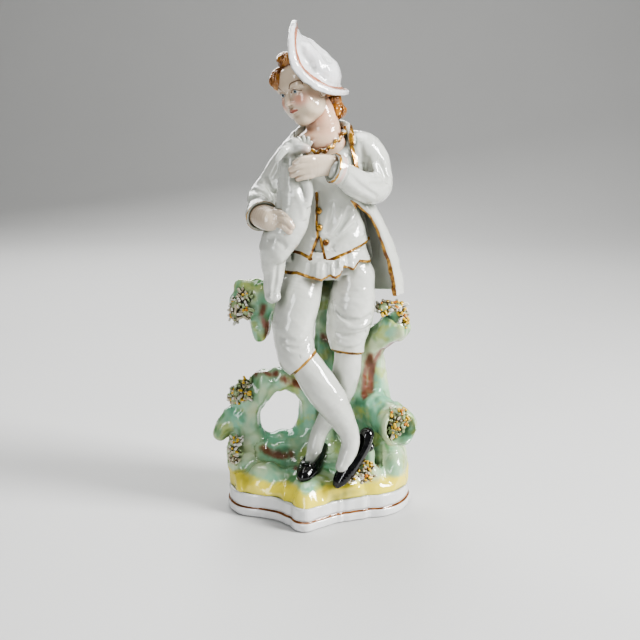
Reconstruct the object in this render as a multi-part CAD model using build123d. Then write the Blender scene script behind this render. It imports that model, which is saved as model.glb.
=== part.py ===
from build123d import *
import os
from math import cos, pi, radians, sin

# A free-standing glazed figurine: a young man in a hat, coat and breeches leans on a mossy tree
# stump with his legs crossed and holds a lamb upright against his chest.
# Each solid is one moulded or hand-rolled piece of clay, butted on its neighbours where a potter
# would lute them together. Nothing moves once it is fired.
# Frame: millimetres, +Z up, X across the figure, -Y towards the viewer.
# Origin: on the standing face, under the middle of the plinth.
# "Standing" is the figure's own left leg (+X side) and "crossing" its own right leg.

# ---- driving dimensions -------------------------------------------------------------------------
TOTAL_HEIGHT = 330.0
PLINTH_HEIGHT = 16.0
PLINTH_STEP = 6.5        # height of the lower, slightly prouder moulding
PLINTH_STEP_OUT = 1.2
WALL = 4.0               # thickness of the hollow-cast walls
PLATE_THICKNESS = 4.0
VENT_RADIUS = 3.0        # lets the kiln gases out of the hollow inside
MOUND_TOP = 31.0
CLOTH = 2.4              # thickness of the coat's sheets
SEAM_Y = 1.0             # where the front and back halves of the body mould meet

# Outline of the plinth's upper edge: a bowed, three-lobed front and a plain curved back.
PLINTH_OUTLINE = [
    (-8, -46), (9, -35), (30, -25.5), (50, -17), (61, -2), (63, 16), (52, 33), (24, 40),
    (-10, 40), (-42, 36), (-60, 20), (-64.5, -1), (-56, -16), (-36, -24.5), (-23, -35),
]

# ---- places on the figure -----------------------------------------------------------------------
WAIST_Z = 180
HEAD_CENTRE = (-8, -6, 287)
HEAD_RADII = (15.0, 16.5, 19.5)
HEAD_TURN, HEAD_LEAN = -38, 14      # degrees: looks to the figure's right, top leans the same way
HAT_CENTRE = (1.3, -2.5, TOTAL_HEIGHT - 24)
HAT_AXIS = (0.78, -0.05, 0.62)      # the way the crown points

GARTER_CROSSING = (-10, -21, 112)
GARTER_STANDING = (19, -5, 114)
GARTER_RADIUS = 10.2
ANKLE_CROSSING = (21, -26, 61)
ANKLE_STANDING = (-3, -3, 50)

parts = {}


# ---- helpers ------------------------------------------------------------------------------------
def ring_plane(centre, direction, across):
    """A plane across a limb; `across` fixes how the section is turned about the limb."""
    along = Vector(*direction).normalized()
    side = Vector(*across) - along * Vector(*across).dot(along)
    return Plane(origin=centre, x_dir=side, z_dir=along)


def eased(stations):
    """Adds sections between the given ones, along a smooth curve through them."""
    if len(stations) < 3:
        return list(stations)
    grown = []
    for i in range(len(stations) - 1):
        p0, p1 = stations[max(i - 1, 0)], stations[i]
        p2, p3 = stations[i + 1], stations[min(i + 2, len(stations) - 1)]
        for t in (0, 0.34, 0.67):
            grown.append(tuple(0.5 * (2 * b + (c - a) * t + (2 * a - 5 * b + 4 * c - d) * t ** 2
                                      + (3 * b - a - 3 * c + d) * t ** 3)
                               for a, b, c, d in zip(p0, p1, p2, p3)))
    return grown + [stations[-1]]


def dome(last, before, span):
    """Shrinking sections that close the end of a limb, `span` half widths long."""
    outward = (Vector(*last[:3]) - Vector(*before[:3])).normalized()
    added = []
    for angle in (30, 56, 78):
        centre = Vector(*last[:3]) + outward * last[3] * span * sin(radians(angle))
        added.append((*centre, *[r * cos(radians(angle)) for r in last[3:]]))
    return added


def limb(stations, start=0, end=0, across=(1, 0, 0), faces=(None, None)):
    """A smooth solid through oval sections (x, y, z, half width[, half depth]).

    start and end dome that end by so many half widths; faces give a flat end its own direction.
    """
    grown = eased([(*s, s[3]) if len(s) == 4 else s for s in stations])
    if start:
        grown = dome(grown[0], grown[1], start)[::-1] + grown
    if end:
        grown = grown + dome(grown[-1], grown[-2], end)
    sections = []
    for i, station in enumerate(grown):
        before, after = grown[max(i - 1, 0)], grown[min(i + 1, len(grown) - 1)]
        direction = tuple(Vector(*after[:3]) - Vector(*before[:3]))
        if i == 0 and faces[0]:
            direction = faces[0]
        if i == len(grown) - 1 and faces[1]:
            direction = faces[1]
        plane = ring_plane(station[:3], direction, across)
        sections.append(plane * Ellipse(station[3], station[4]))
    return loft(sections, ruled=True)


def stacked(levels):
    """An upright solid through level ovals (x, y, z, half width, half depth)."""
    return loft([Pos(x, y, z) * Ellipse(rx, ry) for x, y, z, rx, ry in levels])


def outline_at(z, share):
    """The plinth's outline as a face at height z, drawn in to a share of its size."""
    points = [(x * share, y * share) for x, y in PLINTH_OUTLINE]
    return Pos(0, 0, z) * make_face(Spline(*points, periodic=True))


def spheroid(centre, radii, turn=(0, 0, 0)):
    """An egg shape: a ball of radius 1 drawn out along its own three axes, then turned."""
    rx, ry, rz = radii
    levels = [Pos(0, 0, rz * sin(radians(a))) * Ellipse(rx * cos(radians(a)), ry * cos(radians(a)))
              for a in range(-80, 81, 16)]
    return Pos(*centre) * Rotation(*turn) * loft(levels, ruled=True)


def cut(piece, *others):
    """The piece with its neighbours' space taken out, keeping only its largest solid."""
    for other in others:
        piece = piece - other
    return max(piece.solids(), key=lambda s: s.volume)


# ---- base ---------------------------------------------------------------------------------------
plinth_lower = extrude(outline_at(0, 1 + PLINTH_STEP_OUT / 64), PLINTH_STEP)
plinth_upper = loft([outline_at(PLINTH_STEP, 1.0), outline_at(PLINTH_HEIGHT, 0.985)])
plinth_inside = extrude(outline_at(0, 1 - WALL / 40), PLINTH_HEIGHT)
parts["plinth"] = cut(plinth_lower + plinth_upper, plinth_inside)

plate = extrude(outline_at(0, 1 - WALL / 40), PLATE_THICKNESS)
vent = Pos(22, 12, 0) * Cylinder(VENT_RADIUS, 3 * PLATE_THICKNESS)
parts["base_plate"] = cut(plate, vent)

mound_solid = loft([outline_at(PLINTH_HEIGHT, 0.965), outline_at(23, 0.94), outline_at(28, 0.87),
                    outline_at(MOUND_TOP, 0.76)])
left_knoll = stacked([(-42, 4, 22, 20, 22), (-45, 5, 34, 17, 17), (-47, 6, 44, 12, 10), (-48, 7, 50, 5, 4)])
right_knoll = stacked([(42, 8, 22, 19, 22), (44, 9, 32, 17, 19), (46, 10, 39, 11, 13), (46, 10, 43, 4, 5)])
back_bank = stacked([(4, 17, 22, 42, 19), (4, 18, 34, 34, 16), (4, 19, 42, 26, 12)])
mound_solid = mound_solid + left_knoll + right_knoll + back_bank
mound_inside = loft([outline_at(PLINTH_HEIGHT, 1 - WALL / 40), outline_at(22, 0.80), outline_at(27, 0.66)])
parts["mound"] = cut(mound_solid, mound_inside)

# ---- tree stump ---------------------------------------------------------------------------------
trunk_solid = stacked([
    (14, 20, 36, 30, 13), (15, 20, 50, 26, 12.5), (20, 19, 70, 25, 12), (20, 18, 95, 22, 11.5),
    (18, 19, 120, 19, 11), (14, 21, 145, 18, 11), (12, 22, 163, 14, 9), (12, 22, 168, 6, 4),
])
trunk_inside = stacked([(14, 20, 30, 20, 7), (19, 19, 70, 19, 7), (18, 18, 110, 15, 6.5), (14, 21, 150, 11, 6)])
trunk_whole = cut(trunk_solid, mound_solid)
parts["trunk"] = cut(trunk_whole, trunk_inside)

upper_right_bough = limb([(30, 18, 112, 10), (40, 13, 120, 9.5), (48, 8, 127, 9.5), (52, 5, 132, 9)],
                         end=0.25, across=(0, 1, 0))
knot_hollow = Pos(53, 3, 135) * Sphere(5.5)
parts["upper_right_bough"] = cut(upper_right_bough, trunk_solid, knot_hollow)

upper_left_bough = limb([(4, 22, 148, 12), (-20, 19, 146, 12.5), (-38, 14, 145, 13.5), (-47, 10, 144, 13)],
                        end=0.35, across=(0, 1, 0))
parts["upper_left_bough"] = cut(upper_left_bough, trunk_solid)
left_twig = limb([(-40, 13, 140, 8.5), (-41, 12, 129, 6.5), (-40.5, 11, 122, 4.5)], end=0.8)
parts["upper_left_twig"] = cut(left_twig, upper_left_bough)

arch_post = limb([(-52, 8, 36, 12), (-53, 8, 52, 9.5), (-50, 8, 68, 9.5), (-44, 9, 80, 9.5)],
                 across=(0, 1, 0))
arch_post_whole = cut(arch_post, mound_solid)
parts["arch_post"] = arch_post_whole
arch_limb = limb([(-44, 9, 80, 9.5), (-31, 10, 88, 9.5), (-17, 12, 87, 9.5), (-5, 14, 76, 9),
                  (0, 16, 62, 9), (1, 17, 46, 10)], across=(0, 1, 0), faces=((6, 1, 12), None))
parts["arch_limb"] = cut(arch_limb, arch_post_whole, mound_solid, trunk_solid)
arch_twig = limb([(-54, 8, 64, 7.5), (-63, 6, 56, 7), (-67, 5, 52, 6.5)], end=0.7, across=(0, 1, 0))
parts["arch_twig"] = cut(arch_twig, arch_post_whole, mound_solid)

lower_right_bough = limb([(38, 16, 62, 13), (46, 4, 64, 12), (51, -6, 63, 12.5), (54, -13, 62, 12.5)],
                         end=0.2, across=(0, 0, 1))
burl_hollow = limb([(50, -6, 63, 5), (54, -14, 62, 9), (57, -20, 61, 10)], across=(0, 0, 1))
parts["lower_right_bough"] = cut(lower_right_bough, trunk_solid, mound_solid, burl_hollow)
heel_prop = limb([(33, -12, 28, 6), (32, -14, 42, 4.5), (32, -18, 52, 4)])
heel_prop_whole = cut(heel_prop, mound_solid)


# ---- legs ---------------------------------------------------------------------------------------
hips = stacked([(9, 1, 148, 15, 11), (8, 1, 156, 24, 15), (7, 0, 165, 27, 17), (6, 0, 174, 25, 16),
                (5, 0, WAIST_Z, 22, 15)])
parts["hips"] = hips.solids()[0]

shin_direction = (31, -5, -51)
crossing_thigh = limb([(-9, -3, 163, 16, 14), (-12, -8, 148, 16.5, 14.5), (-15, -15, 130, 16, 14),
                       (-15.5, -20, 120, 14, 13), (*GARTER_CROSSING, GARTER_RADIUS + 1)],
                      faces=(None, shin_direction))
parts["crossing_breeches"] = cut(crossing_thigh, hips)
crossing_shin = limb([(*GARTER_CROSSING, GARTER_RADIUS), (-2, -22.5, 100, 9.8), (8, -24, 86, 9),
                      (16, -25.5, 71, 6.6), (*ANKLE_CROSSING, 5.4), (19, -29, 50, 5.2), (15, -32, 41, 4.8)],
                     end=0.6, faces=(shin_direction, None), across=(0, 1, 0))
parts["crossing_stocking"] = cut(crossing_shin, crossing_thigh)

standing_thigh = limb([(22, -1, 162, 15, 14), (24, -2, 146, 15, 14), (22.5, -3, 130, 13, 12.5),
                       (*GARTER_STANDING, GARTER_RADIUS + 0.8)], faces=(None, (0, 0, -1)))
parts["standing_breeches"] = cut(standing_thigh, hips, crossing_thigh)
standing_shin = limb([(*GARTER_STANDING, GARTER_RADIUS), (18.5, -4, 100, 8.8), (14, -3, 84, 8.6),
                      (6, -2, 66, 6.6), (*ANKLE_STANDING, 5.4), (-4.5, -7, 42, 5.2), (-6.5, -15, 37.5, 4.6)],
                     end=0.6, faces=((0, 0, -1), None), across=(1, 0, 0))
parts["standing_stocking"] = cut(standing_shin, crossing_shin)
parts["trunk"] = cut(parts["trunk"], standing_shin, standing_thigh, crossing_thigh, hips)
trunk_whole = cut(trunk_whole, standing_shin, standing_thigh, crossing_thigh, hips)

standing_shoe = limb([(-0.5, 3.5, 40.5, 6.4, 5.5), (-3, -6, 38, 7.6, 5.2), (-6.5, -16, 34.5, 8.2, 4.8),
                      (-9, -24, 33, 7, 3.8)], start=0.4, end=0.5, across=(1, 0, 0))
parts["standing_shoe"] = cut(standing_shoe, standing_shin, trunk_whole, mound_solid)
crossing_shoe = limb([(31, -22, 60, 6.2, 5), (26, -26, 50.5, 7, 4.6), (19, -31, 39.5, 7.6, 4.6),
                      (13, -34, 31.5, 5.6, 3.6)], start=0.35, end=0.4, across=(0, 1, 0))
parts["crossing_shoe"] = cut(crossing_shoe, crossing_shin, mound_solid, heel_prop_whole)
parts["heel_prop"] = heel_prop_whole
parts["lower_right_bough"] = cut(parts["lower_right_bough"], crossing_shoe, heel_prop_whole)

# ---- body and coat ------------------------------------------------------------------------------
torso_levels = [(5, 0, WAIST_Z - 4, 27, 20), (6, 0, 196, 25, 18), (6, 1, 214, 25, 17.5), (6, 2, 232, 27, 17.5),
                (6, 2, 246, 26.5, 15), (5, 2, 256, 19, 11), (4, 1.5, 262, 9, 8)]
torso_solid = stacked(torso_levels)
hollow_levels = [(x, y, z, rx - WALL, ry - WALL) for x, y, z, rx, ry in torso_levels[1:-1]]
torso_inside = stacked([(5, 0, WAIST_Z - 7, 23, 16)] + hollow_levels)
torso_shell = torso_solid - torso_inside
front_space = Pos(0, SEAM_Y - 40, 215) * Box(120, 80, 120)
parts["waistcoat"] = cut(torso_shell & front_space, hips)
parts["coat_back"] = cut(torso_shell - front_space, hips)

button_places = [(-2.0, 214), (-1.0, 202), (4.0, 191)]
buttons = []
for x, z in button_places:
    button = Pos(x, -21, z) * Rotation(90, 0, 0) * Cylinder(1.9, 8)
    kept = cut(button, torso_solid)
    buttons.append(kept & (Pos(x, -20, z) * Box(6, 7, 6)))
parts["waistcoat_buttons"] = Compound([b.solids()[0] for b in buttons])

frill_outer = stacked([(6, 0, 166, 33, 24), (6, 0, 174, 30.5, 22), (5, 0, 183, 25.5, 18.5)])
shirt_frill = cut(frill_outer, hips, torso_solid, torso_inside, crossing_thigh, standing_thigh, trunk_whole)
parts["shirt_frill"] = cut(shirt_frill, Pos(0, 60, 170) * Box(120, 100, 60))

skirt_levels = [(7, 6, 149, 48, 24), (7, 5, 170, 41, 22), (7, 4, 190, 34, 20), (6, 3, 212, 28, 18.6)]
skirt_outer = stacked(skirt_levels)
skirt_inner = stacked([(x, y, z, rx - CLOTH, ry - CLOTH) for x, y, z, rx, ry in skirt_levels])
skirt = skirt_outer - skirt_inner
skirt_keep = (Pos(30, 46, 180) * Box(80, 80, 120)) + (Pos(-20, 52, 180) * Box(80, 80, 120))
skirt = skirt & skirt_keep
parts["coat_skirt"] = cut(skirt, torso_solid, parts["shirt_frill"], standing_thigh, trunk_solid,
                          upper_left_bough, upper_right_bough)
parts["upper_left_bough"] = cut(parts["upper_left_bough"], standing_thigh, crossing_thigh, hips)

# ---- lamb ---------------------------------------------------------------------------------------
lamb_body = limb([(-21, -28, 246, 6.5), (-20, -29, 233, 8.5), (-16, -30, 218, 11.5), (-18, -30, 206, 12),
                  (-25, -29, 195, 11.5), (-28, -28, 188, 9.5)], start=0.5, end=0.7, across=(0, 1, 0))
lamb_body = cut(lamb_body, torso_solid, parts["shirt_frill"], parts["waistcoat_buttons"])
parts["lamb_body"] = lamb_body
lamb_head = limb([(-22, -31, 251, 6.4), (-16, -33, 253, 6), (-9, -35, 255, 4.2)], start=0.8, end=0.8,
                 across=(0, 1, 0))
parts["lamb_head"] = cut(lamb_head, lamb_body, torso_solid)
lamb_ear = limb([(-20, -37, 255, 2.4, 1.3), (-24, -40, 252, 3.2, 1.4), (-27, -41, 248, 2, 1.1)],
                start=0.5, end=0.7, across=(0, 0, 1))
parts["lamb_ear"] = cut(lamb_ear, lamb_head, lamb_body)
lamb_foreleg = limb([(-8, -36, 233, 3.6), (-5, -38, 226, 3.2), (-4.5, -38, 220, 2.8)], end=0.8)
parts["lamb_foreleg"] = cut(lamb_foreleg, lamb_body, torso_solid)
lamb_hind_leg = limb([(-29, -29, 190, 9.5, 8), (-31, -27, 176, 6.5), (-32, -26, 164, 5), (-31, -26, 157, 4.4)],
                     end=0.8)
parts["lamb_hind_leg"] = cut(lamb_hind_leg, lamb_body, crossing_thigh, parts["shirt_frill"])

# ---- arms ---------------------------------------------------------------------------------------
right_sleeve = limb([(-16, 3, 250, 10), (-25, 3, 240, 10), (-34, 2, 226, 9.6), (-40, 0, 214, 9.2),
                     (-40, -9, 208, 8.2), (-37, -18, 207, 7)], start=0.7, across=(0.5, -0.5, -0.5))
right_sleeve = cut(right_sleeve, torso_solid)
parts["right_sleeve"] = cut(right_sleeve, lamb_body)
right_hand = limb([(-35, -24, 207, 5.2, 6.2), (-30, -30, 208, 4, 8), (-24, -37, 208, 3.6, 8.5),
                   (-19.5, -41.5, 207, 3, 7.6)], end=0.5, across=(-1, -1, 0))
right_hand = cut(right_hand, lamb_body, parts["lamb_hind_leg"], right_sleeve)
parts["right_hand"] = right_hand
right_cuff = limb([(-39.5, -13, 207.5, 9.4), (-38, -17, 207.2, 9.8), (-36, -21.5, 207, 10.4)], across=(0, 0, 1))
parts["right_cuff"] = cut(right_cuff, right_sleeve, right_hand, lamb_body, torso_solid)

left_sleeve = limb([(26, 3, 250, 10), (34, 3, 242, 10), (39, 0, 231, 9.4), (40, -6, 222.5, 9),
                    (32, -17, 225, 8.6), (20, -27, 233, 7.4), (11, -33, 240, 6.6)], start=0.7,
                   across=(0.4, -0.3, 0.5))
left_sleeve = cut(left_sleeve, torso_solid)
parts["left_sleeve"] = left_sleeve
left_hand = limb([(7, -34.5, 242, 4.6, 6), (-1, -38.5, 243, 4, 7.4), (-9, -41, 242.5, 4, 8),
                  (-14, -41.5, 241, 3.4, 6.8)], end=0.6, across=(0, -1, 0))
left_hand = cut(left_hand, left_sleeve, lamb_body, lamb_head, torso_solid)
parts["left_hand"] = left_hand
left_cuff = limb([(14, -31, 237.5, 8.2), (10, -33.5, 240, 9), (6, -35, 242, 9.8)], across=(0, 0, 1))
parts["left_cuff"] = cut(left_cuff, left_sleeve, left_hand, torso_solid)
parts["lamb_foreleg"] = cut(parts["lamb_foreleg"], left_hand, parts["left_cuff"])
parts["lamb_ear"] = cut(parts["lamb_ear"], left_hand)

# ---- head and hat -------------------------------------------------------------------------------
head = spheroid(HEAD_CENTRE, HEAD_RADII, (6, -HEAD_LEAN, HEAD_TURN))
neck = limb([(1, 0, 256, 9.5), (-1, -1, 265, 8.6), (-4, -3, 277, 8.4)])
parts["head"] = head.solids()[0]
parts["neck"] = cut(neck, head, torso_solid)
collar_frill = limb([(2.5, -1, 256, 15, 12.5), (2, -2, 259, 14.5, 12.5), (1.5, -2.5, 262, 12.5, 11.5)])
parts["collar_frill"] = cut(collar_frill, neck, torso_solid, head, lamb_head)

hat_plane = Plane(origin=HAT_CENTRE, x_dir=(0.62, 0, -0.78), z_dir=HAT_AXIS)
crown = hat_plane * stacked([(0, 0, -5, 20, 18), (0, 0, 2, 19.5, 17.5), (0, 0, 6.5, 16.5, 15), (0, 0, 9, 10, 9),
                             (0, 0, 9.8, 4, 3.6)])
parts["hat_crown"] = cut(crown, head)
brim_plate = hat_plane * loft([Pos(0, 0, -6) * Ellipse(21, 19), Pos(0, 0, -1.5) * Ellipse(26, 22.5),
                               Pos(0, 0, 2.5) * Ellipse(28.6, 24.5)])
brim_bowl = hat_plane * loft([Pos(0, 0, -3) * Ellipse(19.5, 18), Pos(0, 0, 0.6) * Ellipse(24, 21),
                              Pos(0, 0, 2.6) * Ellipse(27.2, 23)])
parts["hat_brim"] = cut(brim_plate, brim_bowl, crown, head)
hat_space = crown + brim_plate

temple_curls = [spheroid((-23, -13, 298), (6.5, 6, 7)), spheroid((-27, -10, 288), (5.5, 5.5, 6.5))]
temple_curls[0] = cut(temple_curls[0], head, hat_space)
temple_curls[1] = cut(temple_curls[1], head, hat_space, temple_curls[0])
parts["temple_curls"] = Compound(temple_curls)
nape_curls = spheroid((9, 3, 277), (7.5, 8, 9.5))
parts["nape_curls"] = cut(nape_curls, head, hat_space, neck, torso_solid, parts["collar_frill"])


# ---- blossoms -----------------------------------------------------------------------------------
def blossom(place, facing, size):
    """A pressed flower: a flat five-petalled disc with a bead at its middle."""
    edge = [(size * r * cos(pi * k / 5), size * r * sin(pi * k / 5)) for k in range(10) for r in [(1, 0.62)[k % 2]]]
    petals = extrude(make_face(Spline(*edge, periodic=True)), size * 0.45)
    return Plane(origin=place, z_dir=facing) * (petals + Pos(0, 0, size * 0.45) * Sphere(size * 0.3))


def cluster(flowers, *others):
    made = []
    for place, facing, size in flowers:
        flower = blossom(place, facing, size)
        made.append(cut(flower, *others, *made))
    return Compound(made)


parts["blossoms_upper_left"] = cluster([
    ((-52, 4, 151), (-0.7, -0.5, 0.5), 6), ((-57, 4, 142), (-0.9, -0.4, 0), 6.5),
    ((-48, -3, 142), (-0.4, -0.9, 0.1), 6), ((-54, 2, 133), (-0.6, -0.6, -0.4), 5.5)],
    upper_left_bough, left_twig)
parts["blossoms_arch"] = cluster([
    ((-51, 2, 89), (-0.3, -0.6, 0.7), 6), ((-59, 3, 82), (-0.7, -0.6, 0.3), 6), ((-54, -1, 79), (-0.4, -0.9, 0), 5.5)],
    arch_post, arch_limb)
parts["blossoms_mound_left"] = cluster([
    ((-55, -6, 48), (-0.4, -0.8, 0.4), 5.5), ((-60, -5, 38), (-0.6, -0.8, 0.1), 6)],
    mound_solid, arch_post, arch_twig)
parts["blossoms_upper_right"] = cluster([
    ((46, 4, 142), (0.1, -0.6, 0.8), 7), ((56, 2, 138), (0.7, -0.4, 0.5), 6), ((39, 4, 134), (-0.2, -0.9, 0.5), 5)],
    upper_right_bough, knot_hollow, parts["coat_skirt"], standing_thigh)
parts["blossoms_lower_right"] = cluster([
    ((50, -17, 71), (-0.1, -0.9, 0.4), 5.5), ((58, -15, 70), (0.5, -0.8, 0.4), 5.5), ((48, -18, 61), (-0.2, -1, 0), 5)],
    lower_right_bough, burl_hollow)
parts["blossoms_shoe"] = cluster([
    ((24, -34, 35), (0.1, -0.8, 0.6), 5), ((33, -29, 36), (0.3, -0.7, 0.6), 5.5)],
    mound_solid, crossing_shoe, heel_prop_whole)

# ---- output -------------------------------------------------------------------------------------
os.makedirs("parts", exist_ok=True)
for name, shape in parts.items():
    export_step(shape, f"parts/{name}.step")
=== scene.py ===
import math

import bpy
import numpy as np
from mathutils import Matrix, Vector


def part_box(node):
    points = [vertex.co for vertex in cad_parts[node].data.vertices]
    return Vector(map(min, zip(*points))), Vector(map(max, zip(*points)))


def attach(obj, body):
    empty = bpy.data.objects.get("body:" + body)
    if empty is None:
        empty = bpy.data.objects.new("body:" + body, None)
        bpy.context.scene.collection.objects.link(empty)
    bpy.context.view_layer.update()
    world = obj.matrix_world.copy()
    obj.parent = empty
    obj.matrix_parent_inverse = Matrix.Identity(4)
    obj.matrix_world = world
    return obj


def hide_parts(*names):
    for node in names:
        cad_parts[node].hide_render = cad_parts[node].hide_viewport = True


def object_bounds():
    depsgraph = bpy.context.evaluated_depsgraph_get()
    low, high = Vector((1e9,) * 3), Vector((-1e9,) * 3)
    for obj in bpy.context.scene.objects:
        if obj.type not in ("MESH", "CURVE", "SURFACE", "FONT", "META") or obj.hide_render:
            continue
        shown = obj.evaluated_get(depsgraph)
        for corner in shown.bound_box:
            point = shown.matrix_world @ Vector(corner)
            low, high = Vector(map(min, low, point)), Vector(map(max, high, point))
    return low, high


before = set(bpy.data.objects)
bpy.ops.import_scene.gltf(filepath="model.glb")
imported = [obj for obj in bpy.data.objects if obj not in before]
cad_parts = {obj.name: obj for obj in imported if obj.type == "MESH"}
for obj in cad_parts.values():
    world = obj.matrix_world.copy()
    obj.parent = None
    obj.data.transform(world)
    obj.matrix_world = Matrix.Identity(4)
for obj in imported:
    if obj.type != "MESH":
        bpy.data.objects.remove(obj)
cad_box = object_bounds()

FINE = 1.0   # scales every skin's grid size; above 1 the skins are coarser
REACH = 6.0                    # mm beyond a form's box at which it stops being measured
LINE_REACH = 5.5               # mm round a line's box within which it is measured
BLOCK = 4                      # grid cells to the side of a coarse search cell
Y, Z = np.eye(3)[1:]


# ---- places -------------------------------------------------------------------------------------
def middle(node):
    """The middle of a CAD node's box, in mm."""
    low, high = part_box(node)
    return (np.array(low) + np.array(high)) * 500


def path(node, *points):
    """Points given in mm from the middle of a CAD node's box, with any radius left as it is."""
    start = middle(node)
    return [np.concatenate((start + p[:3], p[3:])) for p in points]


def spot(node, x, y, z):
    """One place given in mm from the middle of a CAD node's box."""
    return middle(node) + (x, y, z)


def axes(forward, up):
    """Columns: right, forward, up of a turned part."""
    f = np.array(forward, float) / np.linalg.norm(forward)
    u = np.array(up, float) - f * np.dot(up, f)
    u /= np.linalg.norm(u)
    return np.stack((np.cross(f, u), f, u), 1)


def eased(points, steps):
    """Points along a smooth curve through the given ones."""
    points = [np.array(p, float) for p in points]
    if len(points) < 3:
        return np.array(points)
    ends = [2 * points[0] - points[1]] + points + [2 * points[-1] - points[-2]]
    out = []
    for a, b, c, d in zip(ends, ends[1:], ends[2:], ends[3:]):
        for t in np.linspace(0, 1, steps, endpoint=False):
            out.append(0.5 * (2 * b + (c - a) * t + (2 * a - 5 * b + 4 * c - d) * t * t
                    + (3 * b - a - 3 * c + d) * t ** 3))
    return np.array(out + [points[-1]])


# ---- solids as distances ------------------------------------------------------------------------
class Form:
    """A solid known by its signed distance in mm, measured only near its box."""

    def __init__(self, distance, low, high):
        self.distance = distance
        self.low = np.array(low, float)
        self.high = np.array(high, float)

    def __call__(self, p):
        """The distance at each point, eased to REACH between half of REACH and REACH off the box."""
        gap = np.maximum(np.maximum(self.low - p, p - self.high), 0)
        d = np.sqrt((gap * gap).sum(1))
        near = d < REACH
        fade = np.clip(d[near] / REACH * 2 - 1, 0, 1) ** 2
        d = np.maximum(d, REACH)
        if near.any():
            d[near] = REACH + (self.distance(p[near]) - REACH) * (1 - fade)
        return d


def tube(points, steps=4, flat=None):
    """A limb through (x, y, z, radius); flat = (direction, share) thins it that way."""
    line = eased(points, steps)
    squeeze = np.eye(3)
    if flat:
        n = np.array(flat[0], float) / np.linalg.norm(flat[0])
        squeeze = np.eye(3) + np.outer(n, n) * (1 / flat[1] - 1)
    share = flat[1] if flat else 1

    def distance(p):
        best = np.full(len(p), 1e9)
        for a, b in zip(line, line[1:]):
            run = b[:3] - a[:3]
            t = np.clip((p - a[:3]) @ run / max(run @ run, 1e-9), 0, 1)
            off = (p - a[:3] - t[:, None] * run) @ squeeze
            best = np.minimum(best, np.sqrt((off * off).sum(1)) - a[3] - t * (b[3] - a[3]))
        return best * (share ** 0.5)

    r = line[:, 3:4]
    return Form(distance, (line[:, :3] - r).min(0), (line[:, :3] + r).max(0))


def egg(centre, radii, turn=None):
    """An ellipsoid, its radii along the columns of `turn`."""
    centre, radii = np.array(centre, float), np.array(radii, float)
    turn = np.eye(3) if turn is None else turn

    def distance(p):
        q = (p - centre) @ turn
        k0 = np.sqrt(((q / radii) ** 2).sum(1))
        k1 = np.sqrt(((q / radii ** 2) ** 2).sum(1)) + 1e-9
        return k0 * (k0 - 1) / k1

    half = np.sqrt(((turn * radii) ** 2).sum(1))
    return Form(distance, centre - half, centre + half)


def limb(node, *points, flat=None):
    """A tube through places round a CAD node."""
    return tube(path(node, *points), flat=flat)


def lump(node, place, radii, turn=None):
    """An egg at a place near a CAD node."""
    return egg(spot(node, *place), radii, turn)


def column(levels, power=2.0):
    """An upright solid through level ovals (x, y, z, half width, half depth)."""
    rows = eased(levels, 5)
    rows = rows[np.argsort(rows[:, 2])]

    def distance(p):
        z = p[:, 2]
        cx, cy, rx, ry = (np.interp(z, rows[:, 2], rows[:, i]) for i in (0, 1, 3, 4))
        u, v = np.abs(p[:, 0] - cx) / rx, np.abs(p[:, 1] - cy) / ry
        k = (u ** power + v ** power) ** (1 / power) + 1e-9
        side = (k - 1) * np.sqrt((p[:, 0] - cx) ** 2 + (p[:, 1] - cy) ** 2) / k
        return soft_max(side * 0.96, np.maximum(rows[0, 2] - z, z - rows[-1, 2]), 1.0)

    low = (rows[:, :3] - np.c_[rows[:, 3:5], np.zeros(len(rows))]).min(0)
    high = (rows[:, :3] + np.c_[rows[:, 3:5], np.zeros(len(rows))]).max(0)
    return Form(distance, low, high)


def soft_min(a, b, k):
    """The lesser of two distances, rounded over where they differ by less than k."""
    h = np.maximum(k - np.abs(a - b), 0) / k
    return np.minimum(a, b) - h * h * k / 4


def soft_max(a, b, k):
    return -soft_min(-a, -b, k)


def blend(k, *forms):
    """One solid out of several, their meeting lines filled to a radius of about k."""
    def distance(p):
        d = forms[0](p)
        for form in forms[1:]:
            d = soft_min(d, form(p), k)
        return d
    return Form(distance, np.min([f.low for f in forms], 0), np.max([f.high for f in forms], 0))


def clip(k, form, *limits):
    """The form kept only where every limit(points) is below zero."""
    def distance(p):
        d = form(p)
        for limit in limits:
            d = soft_max(d, limit(p), k)
        return d
    return Form(distance, form.low, form.high)


def carve(k, form, *tools):
    """The form with the tools' space taken out; a tool may be any function of the points."""
    return clip(k, form, *[lambda p, tool=tool: -tool(p) for tool in tools])


def shell(form, thickness):
    return Form(lambda p: np.abs(form(p)) - thickness / 2, form.low - thickness, form.high + thickness)


def grow(form, amount):
    return Form(lambda p: form(p) - amount, form.low - amount, form.high + amount)


def side_of(point, normal):
    """Below zero on the side of the plane that the normal points away from."""
    n = np.array(normal, float) / np.linalg.norm(normal)
    return lambda p: (p - point) @ n


def shaped(form, change):
    """The form with change(points) taken off its distance: positive swells it."""
    return Form(lambda p: form(p) - change(p), form.low - 1.5, form.high + 1.5)


def ripple(p, size, seed):
    """Smooth unevenness between about -1 and 1, with bumps about `size` mm apart."""
    rng = np.random.default_rng(seed)
    total = np.zeros(len(p))
    for _ in range(6):
        wave = rng.normal(size=3)
        wave *= 2 * math.pi / size / np.linalg.norm(wave) * rng.uniform(0.7, 1.3)
        total += np.sin(p @ wave + rng.uniform(0, 6.28))
    return total / 3


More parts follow.
